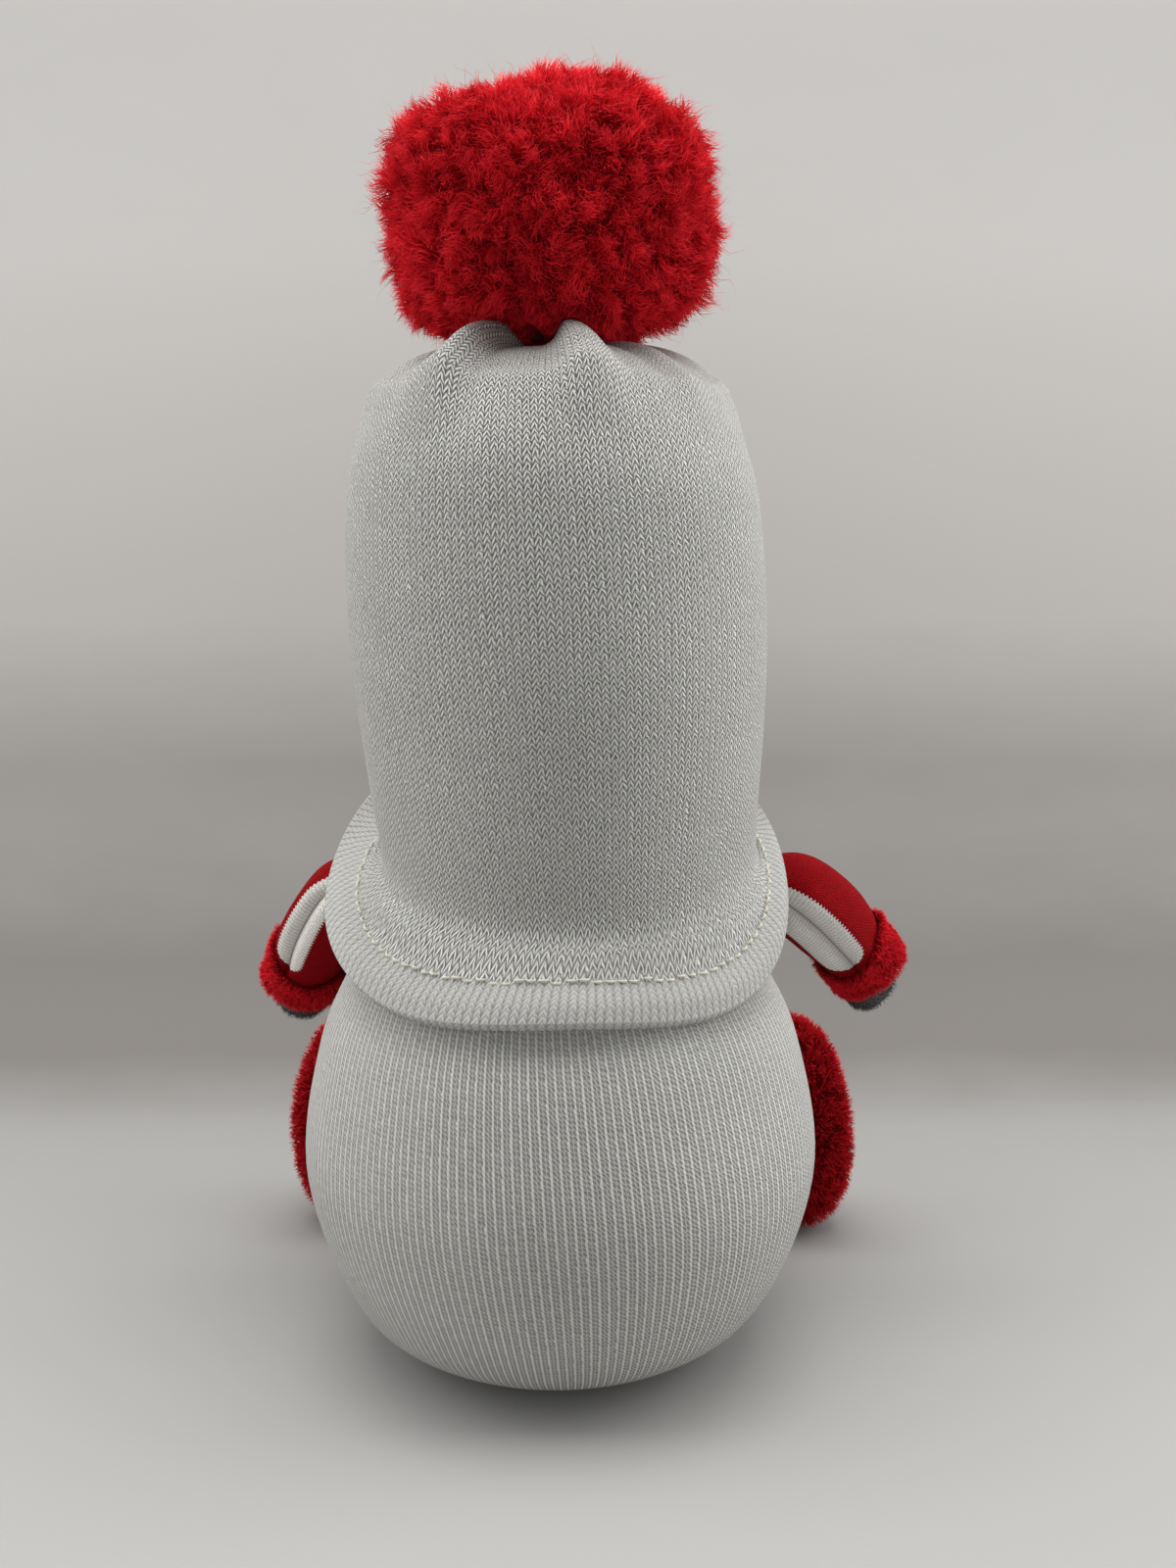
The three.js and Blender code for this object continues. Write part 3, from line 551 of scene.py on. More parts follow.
def lay_stitches(name, line, count, thickness, filled, wander, seed):
    """Short stitches of thread along a closed line, each bowed up and pointed at its ends."""
    dice = np.random.default_rng(seed)
    corners, sides, rows = len(line), 6, 7
    points, faces, corner_map = [], [], []
    for stitch in range(count):
        middle = (stitch + 0.5 + dice.uniform(-0.12, 0.12)) / count
        half = filled * dice.uniform(0.42, 0.54) / count
        lift = dice.uniform(-wander, wander)
        base = len(points)
        for row in range(rows):
            share = row / (rows - 1)
            at = (middle + (share * 2 - 1) * half) % 1 * corners
            i, f = int(at), at % 1
            here, there = line[i % corners], line[(i + 1) % corners]
            spot = here * (1 - f) + there * f
            ahead = (there - here) / np.linalg.norm(there - here)
            out = np.array([spot[0], spot[1], 0]) / np.hypot(spot[0], spot[1])
            up = np.cross(ahead, out)
            bow = math.sin(math.pi * share)
            spot = spot + out * (bow * 0.5 - 0.25) + up * lift
            radius = thickness * (0.35 + 0.65 * bow ** 0.5)
            for turn in turns_round(sides):
                edge = out * radius * math.cos(turn) + up * radius * math.sin(turn)
                points.append((spot + edge) * millimetre)
        for row in range(rows - 1):
            for side in range(sides):
                after = (side + 1) % sides
                a, b = base + row * sides, base + (row + 1) * sides
                faces.append((a + side, a + after, b + after, b + side))
                u, w = side / sides, (side + 1) / sides
                v, x = row / rows, (row + 1) / rows
                corner_map += [(u, v), (w, v), (w, x), (u, x)]
    return mesh_piece(name, points, faces, corner_map, thread)


hem_stitches = lay_stitches("hem_stitches", hem_line, 112, 0.36, 0.8, 0.5, 3)
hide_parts("hem_stitching")
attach(hem_stitches, "body")


# Fur ball
# Red wool pile on a woven backing, gathered into a ball round a little filling and tied on
# the crown. The pile stands in curled tufts that part a little where the ball bulges.

def pile_finish(name, root, middle, tip, sheen):
    """Pile fibres: the map runs from root to tip, and its other way differs from fibre to fibre. The
    colour darkens from tip to root as painted shade deep in the pile.
    """
    finish, tree, surface = new_finish(name, 0.62, {
        "Sheen Weight": sheen, "Sheen Roughness": 0.5, "Sheen Tint": (*tip, 1),
        "Specular IOR Level": 0.05})
    fibre, along, _ = map_place(tree)
    colour = tint(tree, along, [(0.0, *root), (0.5, *middle), (1.0, *tip)])
    kind = chance(tree, times(tree, fibre, 64.0))
    light = tint(tree, kind, [(0.0, 0.72, 0.72, 0.72), (1.0, 1.12, 1.12, 1.12)])
    cover(surface, mix(tree, 1.0, colour, light, blend_type="MULTIPLY"),
          roughness=times_plus(tree, kind, 0.2, 0.5))
    return finish


def backing_finish(name, dark, light):
    """The woven ground under the pile, matted with short fibres."""
    return mottled_finish(name, 0.95, "Noise", (None, 90.0, 5.0, 0.7),
                          [(0.3, *dark), (0.7, *light)], 1.0 * millimetre, napped=True, sockets={
                              "Sheen Weight": 0.2, "Sheen Tint": (*light, 1),
                              "Specular IOR Level": 0.1})


def unit(vectors):
    return vectors / np.maximum(np.linalg.norm(vectors, axis=-1, keepdims=True), 1e-9)


def grow_pile(name, roots, lean, length, thickness, lock, pull, curl, finish, seed,
              floor=None, levels=4):
    """Three-sided pointed fibres in millimetres, each from its root along its lean and drawn
    towards its lock. A lock is a middle, a way and a phase, and its fibres wind round together."""
    dice = np.random.default_rng(seed)
    count = len(roots)
    lean = unit(lean)
    side = unit(np.cross(lean, dice.normal(size=(count, 3))))
    over = np.cross(lean, side)
    middle, way, phase = lock
    first = unit(np.cross(way, [0.31, 0.24, 0.92]))
    second = np.cross(way, first)
    phase = (phase + dice.normal(scale=0.45, size=count))[:, None]
    shares = np.linspace(0, 1, levels + 1) ** 0.85
    spine = []
    for share in shares:
        free = roots + lean * (length[:, None] * share)
        gathered = middle + way * (length[:, None] * share)
        drawn = pull * share * (1.4 - 0.6 * share)
        wind = phase + 6.6 * share
        swing = first * (np.cos(wind) - np.cos(phase)) + second * (np.sin(wind) - np.sin(phase))
        spine.append(free * (1 - drawn) + gathered * drawn + swing * curl * share)
    spine = np.array(spine)
    if floor is not None:
        spine[..., 2] = np.maximum(spine[..., 2], floor(spine) if callable(floor) else floor)
    width = thickness * (1 - 0.6 * shares[:-1] ** 2)[:, None, None]
    width = width * dice.uniform(0.7, 1.25, count)[:, None]
    corners = (side, -0.5 * side + 0.866 * over, -0.5 * side - 0.866 * over)
    rings = np.stack([spine[:levels] + width * corner for corner in corners], axis=2)
    each = levels * 3 + 1
    points = rings.transpose(1, 0, 2, 3).reshape(count, levels * 3, 3)
    points = np.concatenate([points, spine[-1][:, None]], axis=1)
    local = []
    for a in range(0, (levels - 1) * 3, 3):
        for corner in range(3):
            k = (corner + 1) % 3
            local += [(a + corner, a + k, a + 3 + k), (a + corner, a + 3 + k, a + 3 + corner)]
    last = (levels - 1) * 3
    local += [(last + corner, last + (corner + 1) % 3, each - 1) for corner in range(3)]
    local = np.array(local)
    faces = (np.arange(count)[:, None, None] * each + local[None]).reshape(-1, 3)
    along = np.append(np.repeat(shares[:-1], 3), 1)[local]
    fibre = (dice.integers(0, 64, count) / 64)[:, None, None] + np.array([0.001, 0.007, 0.014])
    corner_map = np.stack(np.broadcast_arrays(fibre, along[None]), axis=-1)
    mesh = bpy.data.meshes.new(name)
    mesh.vertices.add(count * each)
    mesh.vertices.foreach_set("co", (points * millimetre).ravel())
    mesh.loops.add(faces.size)
    mesh.loops.foreach_set("vertex_index", faces.ravel())
    mesh.polygons.add(len(faces))
    mesh.polygons.foreach_set("loop_start", np.arange(0, faces.size, 3))
    mesh.update(calc_edges=True)
    return make_piece(mesh, corner_map, finish)


def nearest_tuft(spots, tufts):
    """For each spot, the number of the tuft whose middle is nearest."""
    chosen = np.empty(len(spots), int)
    for start in range(0, len(spots), 4000):
        part = spots[start:start + 4000]
        apart = (part ** 2).sum(1)[:, None] - 2 * part @ tufts.T + (tufts ** 2).sum(1)[None]
        chosen[start:start + 4000] = apart.argmin(1)
    return chosen


def spread_round(count, seed):
    """Directions spread evenly over a ball, each shaken a little."""
    dice = np.random.default_rng(seed)
    height = 1 - 2 * (np.arange(count) + 0.5) / count
    turn = np.arange(count) * math.pi * (3 - 5 ** 0.5)
    flat = np.sqrt(1 - height ** 2)
    spots = np.stack([flat * np.cos(turn), flat * np.sin(turn), height], axis=1)
    return unit(spots + dice.normal(scale=0.9 / count ** 0.5, size=spots.shape))


pompom_middle = np.array([crown_shift, 0, 286])
pompom_pile, pompom_half_width, pompom_up, pompom_down, pompom_fullness = 9.5, 42.6, 31, 34, 2.25
# Each lobe of the ball: its direction, its height and its breadth.
pompom_lobes = [
    ((0.93, 0.1, 0.35), 3.5, 0.22), ((-0.75, 0.2, -0.65), 4.5, 0.5), ((0.72, 0.2, -0.7), 3.5, 0.45),
    ((-0.10, 0.1, 1.0), 2.5, 0.42), ((0.42, 0.1, 0.88), -2.5, 0.25), ((-0.8, 0.2, 0.5), 1.5, 0.4),
    ((0.9, 0.3, -0.15), -1.5, 0.35), ((0.1, 1.0, 0.1), 1.5, 0.6), ((-0.42, 0.72, -0.66), 5.5, 0.36),
    ((0.55, 0.65, -0.62), 2.0, 0.35),
]


def pompom_reach(direction):
    """How far the tips reach from the middle in a direction: a wide ball, with lobes and bulges."""
    x, y, z = direction.T
    flat = np.sqrt(x * x + y * y)
    tall = np.where(z > 0, pompom_up, pompom_down)
    ball = (flat / pompom_half_width) ** pompom_fullness + (np.abs(z) / tall) ** pompom_fullness
    ball = ball ** (-1 / pompom_fullness)
    for way, height, width in pompom_lobes:
        apart = ((direction - unit(np.array(way))) ** 2).sum(1)
        ball = ball + height * np.exp(-apart / width ** 2)
    for seed, height, breadth in ((21, 1.9, 4), (22, 1.3, 10), (23, 0.8, 22)):
        ball = ball + height * waves(seed, 9, breadth * x, breadth * y, breadth * z)
    return ball


crown_rings = hat_outside[waist_row:][::-1]
crown_out = np.hypot(crown_rings[..., 0] - crown_shift, crown_rings[..., 1])
crown_reach = np.arange(61.0)
crown_height = np.array([np.interp(crown_reach, crown_out[:, j], crown_rings[:, j, 2])
                         for j in range(hat_around)])
# The pile stays this far over the hat, further in the gap between its two pleats at the back,
# and furthest round the tie.
over_crown, gap_angle, gap_width, over_gap = 0.9, 79, 9, 4.5
tie_height, tie_reach, tie_end = 257, 9, 13


def above_crown(spots):
    """The least height of the pile over the gathered toe of the hat."""
    out = np.hypot(spots[..., 0] - crown_shift, spots[..., 1])
    turn = np.arctan2(spots[..., 1], spots[..., 0] - crown_shift)
    which = np.rint(turn / math.tau * hat_around).astype(int) % hat_around
    floor = crown_height[which, np.clip(np.rint(out), 0, crown_reach[-1]).astype(int)] + over_crown
    gap = np.exp(-((np.degrees(turn) - gap_angle) / gap_width) ** 2) * (1 - rise(32, 38, out))
    round_tie = np.interp(out, [tie_reach, tie_end], [tie_height, crown_edge])
    return np.maximum(floor + over_gap * gap, round_tie)


# Its dark roots are painted shade deep in the pile.
red_pile = pile_finish("red_wool_pile", (0.035, 0.0003, 0.0008), (0.48, 0.0025, 0.007),
                       (1.0, 0.026, 0.042), 0.7)
red_backing = backing_finish("red_backing", (0.06, 0.0006, 0.0012), (0.22, 0.002, 0.005))

core_rings = []
core_turn = turns_round(64)
core_floor, core_over_roots, roots_below = 258.5, 0.7, 0.6
for polar in np.linspace(0.14, math.pi - 0.02, 40):
    direction = np.stack([math.sin(polar) * np.cos(core_turn), math.sin(polar) * np.sin(core_turn),
                          np.full(len(core_turn), -math.cos(polar))], axis=1)
    reach = pompom_reach(direction) - pompom_pile + core_over_roots
    spots = pompom_middle + direction * reach[:, None]
    spots[:, 2] = np.maximum(spots[:, 2], core_floor)
    core_rings.append(spots)
pompom_core = sew_skin("pompom_backing", core_rings, red_backing)
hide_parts("pompom_fur")
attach(pompom_core, "pompom")

lock_count, fibre_count, open_below = 1900, 7400, -0.93
lock_heads = spread_round(lock_count, 31)
lock_dice = np.random.default_rng(32)
lock_ways = unit(lock_heads + lock_dice.normal(scale=0.5, size=lock_heads.shape))
lock_lengths = lock_dice.uniform(0.68, 1.10, lock_count)
lock_phases = lock_dice.uniform(0, math.tau, lock_count)
lock_middles = pompom_middle + lock_heads * (pompom_reach(lock_heads) - pompom_pile)[:, None]
for part in range(10):
    heads = spread_round(fibre_count, 40 + part)
    heads = heads[heads[:, 2] > open_below]
    count = len(heads)
    own = nearest_tuft(heads, lock_heads)
    roots = pompom_middle + heads * (pompom_reach(heads) - pompom_pile - roots_below)[:, None]
    roots[:, 2] = np.maximum(roots[:, 2], core_floor - 0.1)
    dice = np.random.default_rng(50 + part)
    lengths = pompom_pile * lock_lengths[own] * dice.uniform(0.8, 1.08, count)
    kind = dice.random(count)
    stray, loose = kind < 0.025, kind < 0.36
    lengths[loose] *= 0.9
    lengths[stray] *= 1.6
    pull = np.where(loose, dice.uniform(0.0, 0.3, count), dice.uniform(0.45, 0.82, count))
    scatter = np.where(loose, 0.55, 0.22)[:, None]
    lean = unit(heads + scatter * dice.normal(size=heads.shape))
    thin = np.where(stray, 0.05, 0.125)[:, None]
    curl = np.where(stray, 2.8, dice.uniform(1.2, 2.2, count))
    pile = grow_pile(f"pompom_pile_{part + 1}", roots, lean, lengths, thin,
                     (lock_middles[own], lock_ways[own], lock_phases[own]), pull[:, None],
                     curl[:, None], red_pile, 60 + part, floor=above_crown, levels=5)
    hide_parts("pompom_fur")
    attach(pile, "pompom")


# Nose
# A ball of skin-coloured jersey gathered round filling and sewn to the front of the body,
# under the raised hem.

nose_knit = knit_finish("jersey_knit", (0.74, 0.42, 0.29), (0.40, 0.18, 0.11), 110, 52, relief=0.12)
nose_radius, nose_x, nose_y, nose_z = 13, -3, -54.85, 124
nose_turn = turns_round(64)
nose_rings = []
for polar in np.linspace(0.1, math.pi - 0.03, 34):
    gather = 0.35 * math.exp(-((polar - 0.1) / 0.5) ** 2)
    dimple = 0.015 * waves_round(71, 5, 3, nose_turn, 3 * polar)
    radius = nose_radius * (1 + dimple) + gather * np.cos(14 * nose_turn)
    nose_rings.append(np.stack([nose_x + radius * math.sin(polar) * np.cos(nose_turn),
                                nose_y + radius * math.cos(polar),
                                nose_z + radius * math.sin(polar) * np.sin(nose_turn)], axis=1))
nose = sew_skin("nose_ball", nose_rings, nose_knit)
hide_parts("nose_cover")
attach(nose, "body")


# Beard
# A tongue of white long-pile fabric sewn to the chest under the nose. The pile hangs down
# over its backing and ends in a soft point above the floor.

beard_tip, beard_top, beard_rise = 27, 109, 11
beard_tip_half, beard_widening, beard_edge = 6, 28, 0.97


def body_radius(height):
    return np.interp(height, body_outline[2:, 1], body_outline[2:, 0])


def beard_spot(across, up, depth):
    """A place on the beard: across from -1 to 1, up from its tip to its top, at a depth."""
    height = beard_tip + (beard_top + beard_rise * across ** 2 - beard_tip) * up
    half = beard_tip_half + beard_widening * np.maximum(up, 0) ** 0.7
    radius = body_radius(height)
    angle = -math.pi / 2 + across * half / radius
    out = np.stack([np.cos(angle), np.sin(angle), 0 * angle], axis=-1)
    spot = out * (radius + depth)[..., None]
    spot[..., 0] += body_shift(height)
    spot[..., 2] = height
    return spot


def bulge_across(across, edge, middle):
    """A depth that swells from the beard's edges to its middle."""
    return edge + middle * (1 - across ** 4)


# Its greyer roots are painted shade deep in the pile.
white_pile = pile_finish("white_long_pile", (0.62, 0.61, 0.58), (0.78, 0.77, 0.74),
                         (0.88, 0.87, 0.84), 0.3)
white_backing = backing_finish("white_backing", (0.50, 0.49, 0.46), (0.72, 0.71, 0.68))

beard_size = [beard_tip_half + beard_widening, 90]
beard_rings = []
sweep = np.linspace(-1, 1, 22)
for up in np.linspace(0.02, 0.98, 30):
    across = np.concatenate([sweep, -sweep])
    depth = np.concatenate([bulge_across(sweep, 4.6, 4.6), np.full(len(sweep), 4.2)])
    beard_rings.append(beard_spot(across * beard_edge, np.full(len(across), up), depth))
beard_ground = sew_skin("beard_ground", beard_rings, white_backing)
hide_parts("beard_pile")
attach(beard_ground, "body")

for part in range(2):
    dice = np.random.default_rng(80 + part)
    count = 9400
    up = dice.uniform(0.0, 1.0, count) ** 0.85
    across = dice.uniform(-beard_edge, beard_edge, count)
    roots = beard_spot(across, up, bulge_across(across, 4.8, 4.2))
    ends = beard_spot(across * 0.9, np.clip(up - 0.24, -0.04, 1), bulge_across(across, 10.5, 2.5))
    locks = dice.uniform(size=(260, 2)) * [2 * beard_edge, 1.0] - [beard_edge, 0]
    own = nearest_tuft(np.stack([across, up], 1) * beard_size, locks * beard_size)
    aside, high = locks[own].T
    middles = beard_spot(aside, high, bulge_across(aside, 5.4, 4.2))
    lock_ends = beard_spot(aside * 0.9, np.clip(high - 0.26, -0.05, 1), bulge_across(aside, 11, 2))
    lengths = np.linalg.norm(ends - roots, axis=1) * dice.uniform(0.75, 1.1, count)
    phases = dice.uniform(0, math.tau, len(locks))[own]
    pull = dice.uniform(0.15, 0.55, count)[:, None]
    pile = grow_pile(f"beard_pile_{part + 1}", roots, ends - roots, lengths, 0.23,
                     (middles, unit(lock_ends - middles), phases), pull, 1.1,
                     white_pile, 90 + part, floor=20)
    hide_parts("beard_pile")
    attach(pile, "body")


# Arms
# Short sleeves cut from a red knit with a white stripe, sewn flat along the stripe's middle and
# stuffed so that the seam pulls in. Each ends in a band of red pile round a grey fleece mitten.

def line_through(points):
    """A smooth line: its points, its directions, and how far along it each point lies."""
    step = np.linalg.norm(np.diff(points, axis=0), axis=1)
    return points, np.gradient(points, axis=0), np.concatenate([[0], step.cumsum()])


def bend_line(root, bend, end):
    """The line of an arm, which leaves its root towards the bend and turns to its end."""
    t = np.linspace(0, 1, 400)[:, None]
    return line_through((1 - t) ** 2 * root + 2 * t * (1 - t) * bend + t ** 2 * end)


def place_on(line, run):
    """A place and direction on a line at a run; past its ends it goes straight on."""
    points, along, length = line
    inside = np.clip(run, 0, length[-1])
    spot = np.array([np.interp(inside, length, points[:, k]) for k in range(3)])
    ahead = unit(np.array([np.interp(inside, length, along[:, k]) for k in range(3)]))
    return spot + ahead * (run - inside), ahead


def limb_ring(line, run, radius, angles):
    """A ring square to the line. Angle 0 faces the back of the figure and a quarter turn is up."""
    spot, ahead = place_on(line, run)
    back = unit(np.array([0, 1, 0]) - ahead * ahead[1])
    up = np.cross(back, ahead)
    up = up if up[2] > 0 else -up
    return spot + back * (radius * np.cos(angles))[:, None] + up * (radius * np.sin(angles))[:, None]


def sleeve_finish(name, stripe_middle, stripe_half):
    """Red knit with a white stripe along the arm, whose borders follow the stitches. The stripe
    tapers to the hand, its white is darker between its ribs as painted shade, and along the seam down
    its middle the colour is darkened as painted shade."""
    finish = knit_finish(name, (0.40, 0.0036, 0.0075), (0.10, 0.0008, 0.0018), 40, 84, across=True,
                         relief=0.4, gloss=0.06)
    tree = finish.node_tree
    surface = tree.nodes["Principled BSDF"]
    around, along, place = map_place(tree)
    red = surface.inputs["Base Color"].links[0].from_socket
    tooth = calc(tree, "PINGPONG", times(tree, along, 44.0), 0.5)
    middle = calc(tree, "ABSOLUTE", calc(tree, "SUBTRACT", around, stripe_middle))
    taper = times(tree, calc(tree, "SUBTRACT", along, 0.78), 6.0)
    taper = calc(tree, "POWER", calc(tree, "MAXIMUM", taper, 0.0), 2.5)
    reach = times_plus(tree, tooth, 0.022, times_plus(tree, taper, 0.14, middle))
    inside = calc(tree, "LESS_THAN", reach, stripe_half + 0.0055)
    fleck = times(tree, add(tree, "ShaderNodeTexNoise", place, None, 130.0, 3.0), 0.9)
    # Painted shade: the white is darker between its ribs.
    white = tint(tree, times_plus(tree, tooth, 0.8, fleck),
                 [(0.25, 0.44, 0.42, 0.39), (0.8, 0.80, 0.78, 0.74)])
    # Painted shade: the colour darkens along the seam's fold.
    from_seam = calc(tree, "ABSOLUTE", calc(tree, "SUBTRACT", around, 0.5))
    seam_painted_shade = tint(tree, times(tree, from_seam, 20.0), [
        (0.02, 0.45, 0.41, 0.40), (0.16, 0.86, 0.84, 0.83), (0.5, 1, 1, 1)])
    cover(surface, mix(tree, 1.0, mix(tree, inside, red, white), seam_painted_shade, blend_type="MULTIPLY"))
    return finish


def grow_short_pile(name, dice, roots, stand, tuft_way, tufts, shortest, longest, thickness,
                    curl, finish, seed, floor=None):
    """Short fur: each fibre stands as given, and leans a little to the way of its tuft."""
    count = len(roots)
    heads = dice.choice(count, tufts, replace=False)
    own = nearest_tuft(roots, roots[heads])
    ways = unit(tuft_way[heads] + dice.normal(scale=0.4, size=(tufts, 3)))
    lengths = dice.uniform(shortest, longest, count)
    lean = unit(stand + dice.normal(scale=0.3, size=(count, 3)))
    lock = roots[heads][own], ways[own], dice.uniform(0, math.tau, tufts)[own]
    return grow_pile(name, roots, lean, lengths, thickness, lock,
                     dice.uniform(0.1, 0.5, count)[:, None], curl, finish, seed, floor=floor)


arm_reach, arm_turn, arm_height, arm_lean = 56.27, math.radians(14), 117, -2.7
sleeve_length, sleeve_around = 40.5, 96
sleeve_radii = [(-5.9, 1.8), (-4.6, 4.1), (-2.2, 6.1), (2.0, 8.3), (6, 10.5), (10, 11.6),
                (18, 11.9), (24.5, 11.7), (29, 11.1), (33.5, 10.3), (38.5, 9.8)]
cuff_profile = [(33, 10.0), (31.8, 10.4), (32.6, 11.0), (36, 11.2), (40.5, 11.1), (43.2, 10.6),
                (43, 10.1), (38, 10.1), (33, 10.0)]
cuff_start, cuff_end, cuff_skew = 31.8, 43.2, 5.5
cuff_pile_start, cuff_pile_end, cuff_pile_radius = 31.0, 43.4, 10.5
palm_length = 7
fleece = mottled_finish("grey_fleece", 0.95, "Noise", (None, 40.0, 6.0, 0.75),
                        [(0.3, 0.025, 0.024, 0.026), (0.75, 0.10, 0.095, 0.10)], 0.0006, napped=True)
# The nap's darker roots are painted shade.
grey_nap = pile_finish("grey_fleece_nap", (0.03, 0.03, 0.032), (0.07, 0.068, 0.072),
                       (0.12, 0.115, 0.12), 0.2)
pad_knit = knit_finish("red_pad_knit", (0.50, 0.0045, 0.009), (0.16, 0.001, 0.0025), 12, 5,
                       relief=0.2, gloss=0.06)


def refinish(node_name, finish):
    """Gives a CAD solid that stays in the figure its own finish."""
    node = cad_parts[node_name]
    node.data.materials.clear()
    node.data.materials.append(finish)


# For each arm: its side, how it droops and comes forward, its first bend, the way of its hand,
# and the turns of its seam, of its stripe with half its width, and of the cuff's bare side.
arms = [
    ("left", 1, 56, 50, (9.5, -5, -4), (-0.3, -0.9, -0.3), 26, 24, 0.066, 5),
    ("right", -1, 50, 28, (13, -4, -4), (-0.8, -0.4, -0.45), -21, -24, 0.086, -40),
]
for (word, side, droop, forward, first_bend, hand,
     seam_turn, stripe_turn, stripe_half, bare_turn) in arms:
    droop, forward = math.radians(droop), math.radians(forward)
    root = np.array([side * arm_reach * math.cos(arm_turn) + arm_lean,
                     -arm_reach * math.sin(arm_turn), arm_height])
    out, back, up = first_bend
    bend = root + [side * out, back, up]
    ahead = np.array([side * math.cos(droop) * math.cos(forward),
                      -math.cos(droop) * math.sin(forward), -math.sin(droop)])
    line = bend_line(root, bend, bend + ahead * (sleeve_length - out))

    # The rings' points run so that the faces look outward on both sides of the figure.
    seam = math.radians(seam_turn)
    angles = seam + math.pi + turns_round(sleeve_around) * side
    from_seam = np.abs((angles - seam + math.pi) % math.tau - math.pi)
    from_top = np.abs((angles - 1.4 + math.pi) % math.tau - math.pi)
    sleeve_stations = smooth_line(sleeve_radii, 60)
    sleeve_rings = []
    for run, radius in sleeve_stations:
        far = rise(2, 9, run)
        dent = 1.6 * np.exp(-(from_seam / 0.13) ** 2) * far * (1 - rise(33, 38, run))
        puff = 1.1 * np.exp(-((from_seam - 0.45) / 0.3) ** 2) * far * (1 - rise(30, 37, run))
        fold = 0.3 * waves_round(100 + side, 6, 3, angles, run / 5)
        flat = 1.0 * np.exp(-(from_top / 0.8) ** 2)
        sleeve_rings.append(limb_ring(line, run, radius - dent + puff + (fold - flat) * far, angles))
    stripe_place = 0.5 + side * (stripe_turn - seam_turn) / 360
    sleeve_knit = sleeve_finish(f"striped_knit_{word}", stripe_place, stripe_half)
    sleeve = sew_skin(f"sleeve_skin_{word}", sleeve_rings, sleeve_knit)
    sleeve_run = np.repeat(sleeve_stations[:, 0], sleeve_around)
    sleeve_held = np.maximum(1 - rise(1, 8, sleeve_run), rise(29, 34, sleeve_run))
    sleeve_held = np.maximum(sleeve_held, 1 - rise(0.12, 0.3, np.tile(from_seam, len(sleeve_rings))))
    stuff_firmly(sleeve, np.append(sleeve_held, [1, 1]), most=0.5)
    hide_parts(f"sleeve_{word}")
    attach(sleeve, f"arm_{word}")

    # The cuff is sewn on askew: on the side that faces back it starts further down the sleeve.
    def sewn_at(run, angle):
        skew = cuff_skew * np.maximum(0, np.cos(angle - math.radians(bare_turn))) ** 1.3
        return run + skew * np.clip((cuff_end - run) / (cuff_end - cuff_start), 0, 1)

    cuff_rings = []
    for run, radius in smooth_line(cuff_profile, 40):
        cuff_rings.append(np.array([limb_ring(line, sewn_at(run, angle), radius, np.array([angle]))[0]
                                    for angle in angles]))
    cuff = sew_skin(f"cuff_ground_{word}", cuff_rings, red_backing, shut=(False, False))
    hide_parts(f"cuff_{word}")
    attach(cuff, f"arm_{word}")

    dice = np.random.default_rng(120 + side)
    facing = dice.uniform(0, math.tau, 8500)
    runs = sewn_at(dice.uniform(cuff_pile_start, cuff_pile_end, len(facing)), facing)
    spots, heading = map(np.array, zip(*[place_on(line, run) for run in runs]))
    backward = unit(np.array([0, 1, 0]) - heading * heading[:, 1:2])
    upward = np.cross(backward, heading)
    radial = backward * np.cos(facing)[:, None] + upward * np.sin(facing)[:, None]
    ahead_share = np.clip((runs - sewn_at(cuff_pile_start, facing)) / 3, -0.4, 1)[:, None]
    pile = grow_short_pile(f"cuff_pile_{word}", dice, spots + radial * cuff_pile_radius,
                           radial * 0.6 + heading * 0.9 * ahead_share, radial * 0.7 + heading,
                           240, 1.9, 3.1, 0.12, 0.6, red_pile, 130 + side)
    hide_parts(f"cuff_{word}")
    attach(pile, f"arm_{word}")

    wrist, ahead_at_wrist = place_on(line, line[2][-1])
    start = wrist - ahead_at_wrist * 6
    leaving = wrist + ahead_at_wrist * 3
    towards = unit(np.array([side * hand[0], hand[1], hand[2]]))
    palm = leaving + (ahead_at_wrist * 0.6 + towards * 0.4) * palm_length
    tip = palm + towards * palm_length
    hand_line = line_through(smooth_line([start, wrist, leaving, palm, tip], 200))
    whole = hand_line[2][-1]
    mitten_rings = []
    for run, radius in smooth_line([
            (0, 6.2), (1.5, 7.3), (5, 7.1), (7, 6.4), (9.5, 6.5), (whole - 7, 7.2),
            (whole - 3.5, 6.9), (whole - 1, 4.9), (whole - 0.1, 1.6)], 44):
        lumps = 0.25 * waves_round(140 + side, 8, 4, angles, run / 3)
        mitten_rings.append(limb_ring(hand_line, run, radius + lumps, angles))
    mitten = sew_skin(f"mitten_skin_{word}", mitten_rings, fleece)
    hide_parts(f"mitten_{word}")
    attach(mitten, f"arm_{word}")

    wrist_rings = 10
    outside = np.array(mitten_rings)[wrist_rings:]
    picks = dice.integers(0, outside[..., 0].size, 4500)
    roots = outside.reshape(-1, 3)[picks]
    middle_line = np.repeat(outside.mean(1), sleeve_around, axis=0)[picks]
    lean = unit(unit(roots - middle_line) + dice.normal(scale=0.5, size=roots.shape))
    lengths = dice.uniform(0.9, 1.9, len(roots))
    nap = grow_pile(f"mitten_nap_{word}", roots - lean * 0.3, lean, lengths, 0.09,
                    (roots, lean, dice.uniform(0, math.tau, len(roots))),
                    np.zeros((len(roots), 1)), 0.4, grey_nap, 150 + side)
    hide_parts(f"mitten_{word}")
    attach(nap, f"arm_{word}")

    refinish(f"shoulder_pad_{word}", pad_knit)


# Legs and boots
# Short red knitted legs that leave the front of the body and end in boots of red pile, which
# stand on their heels and show past both sides of the body.

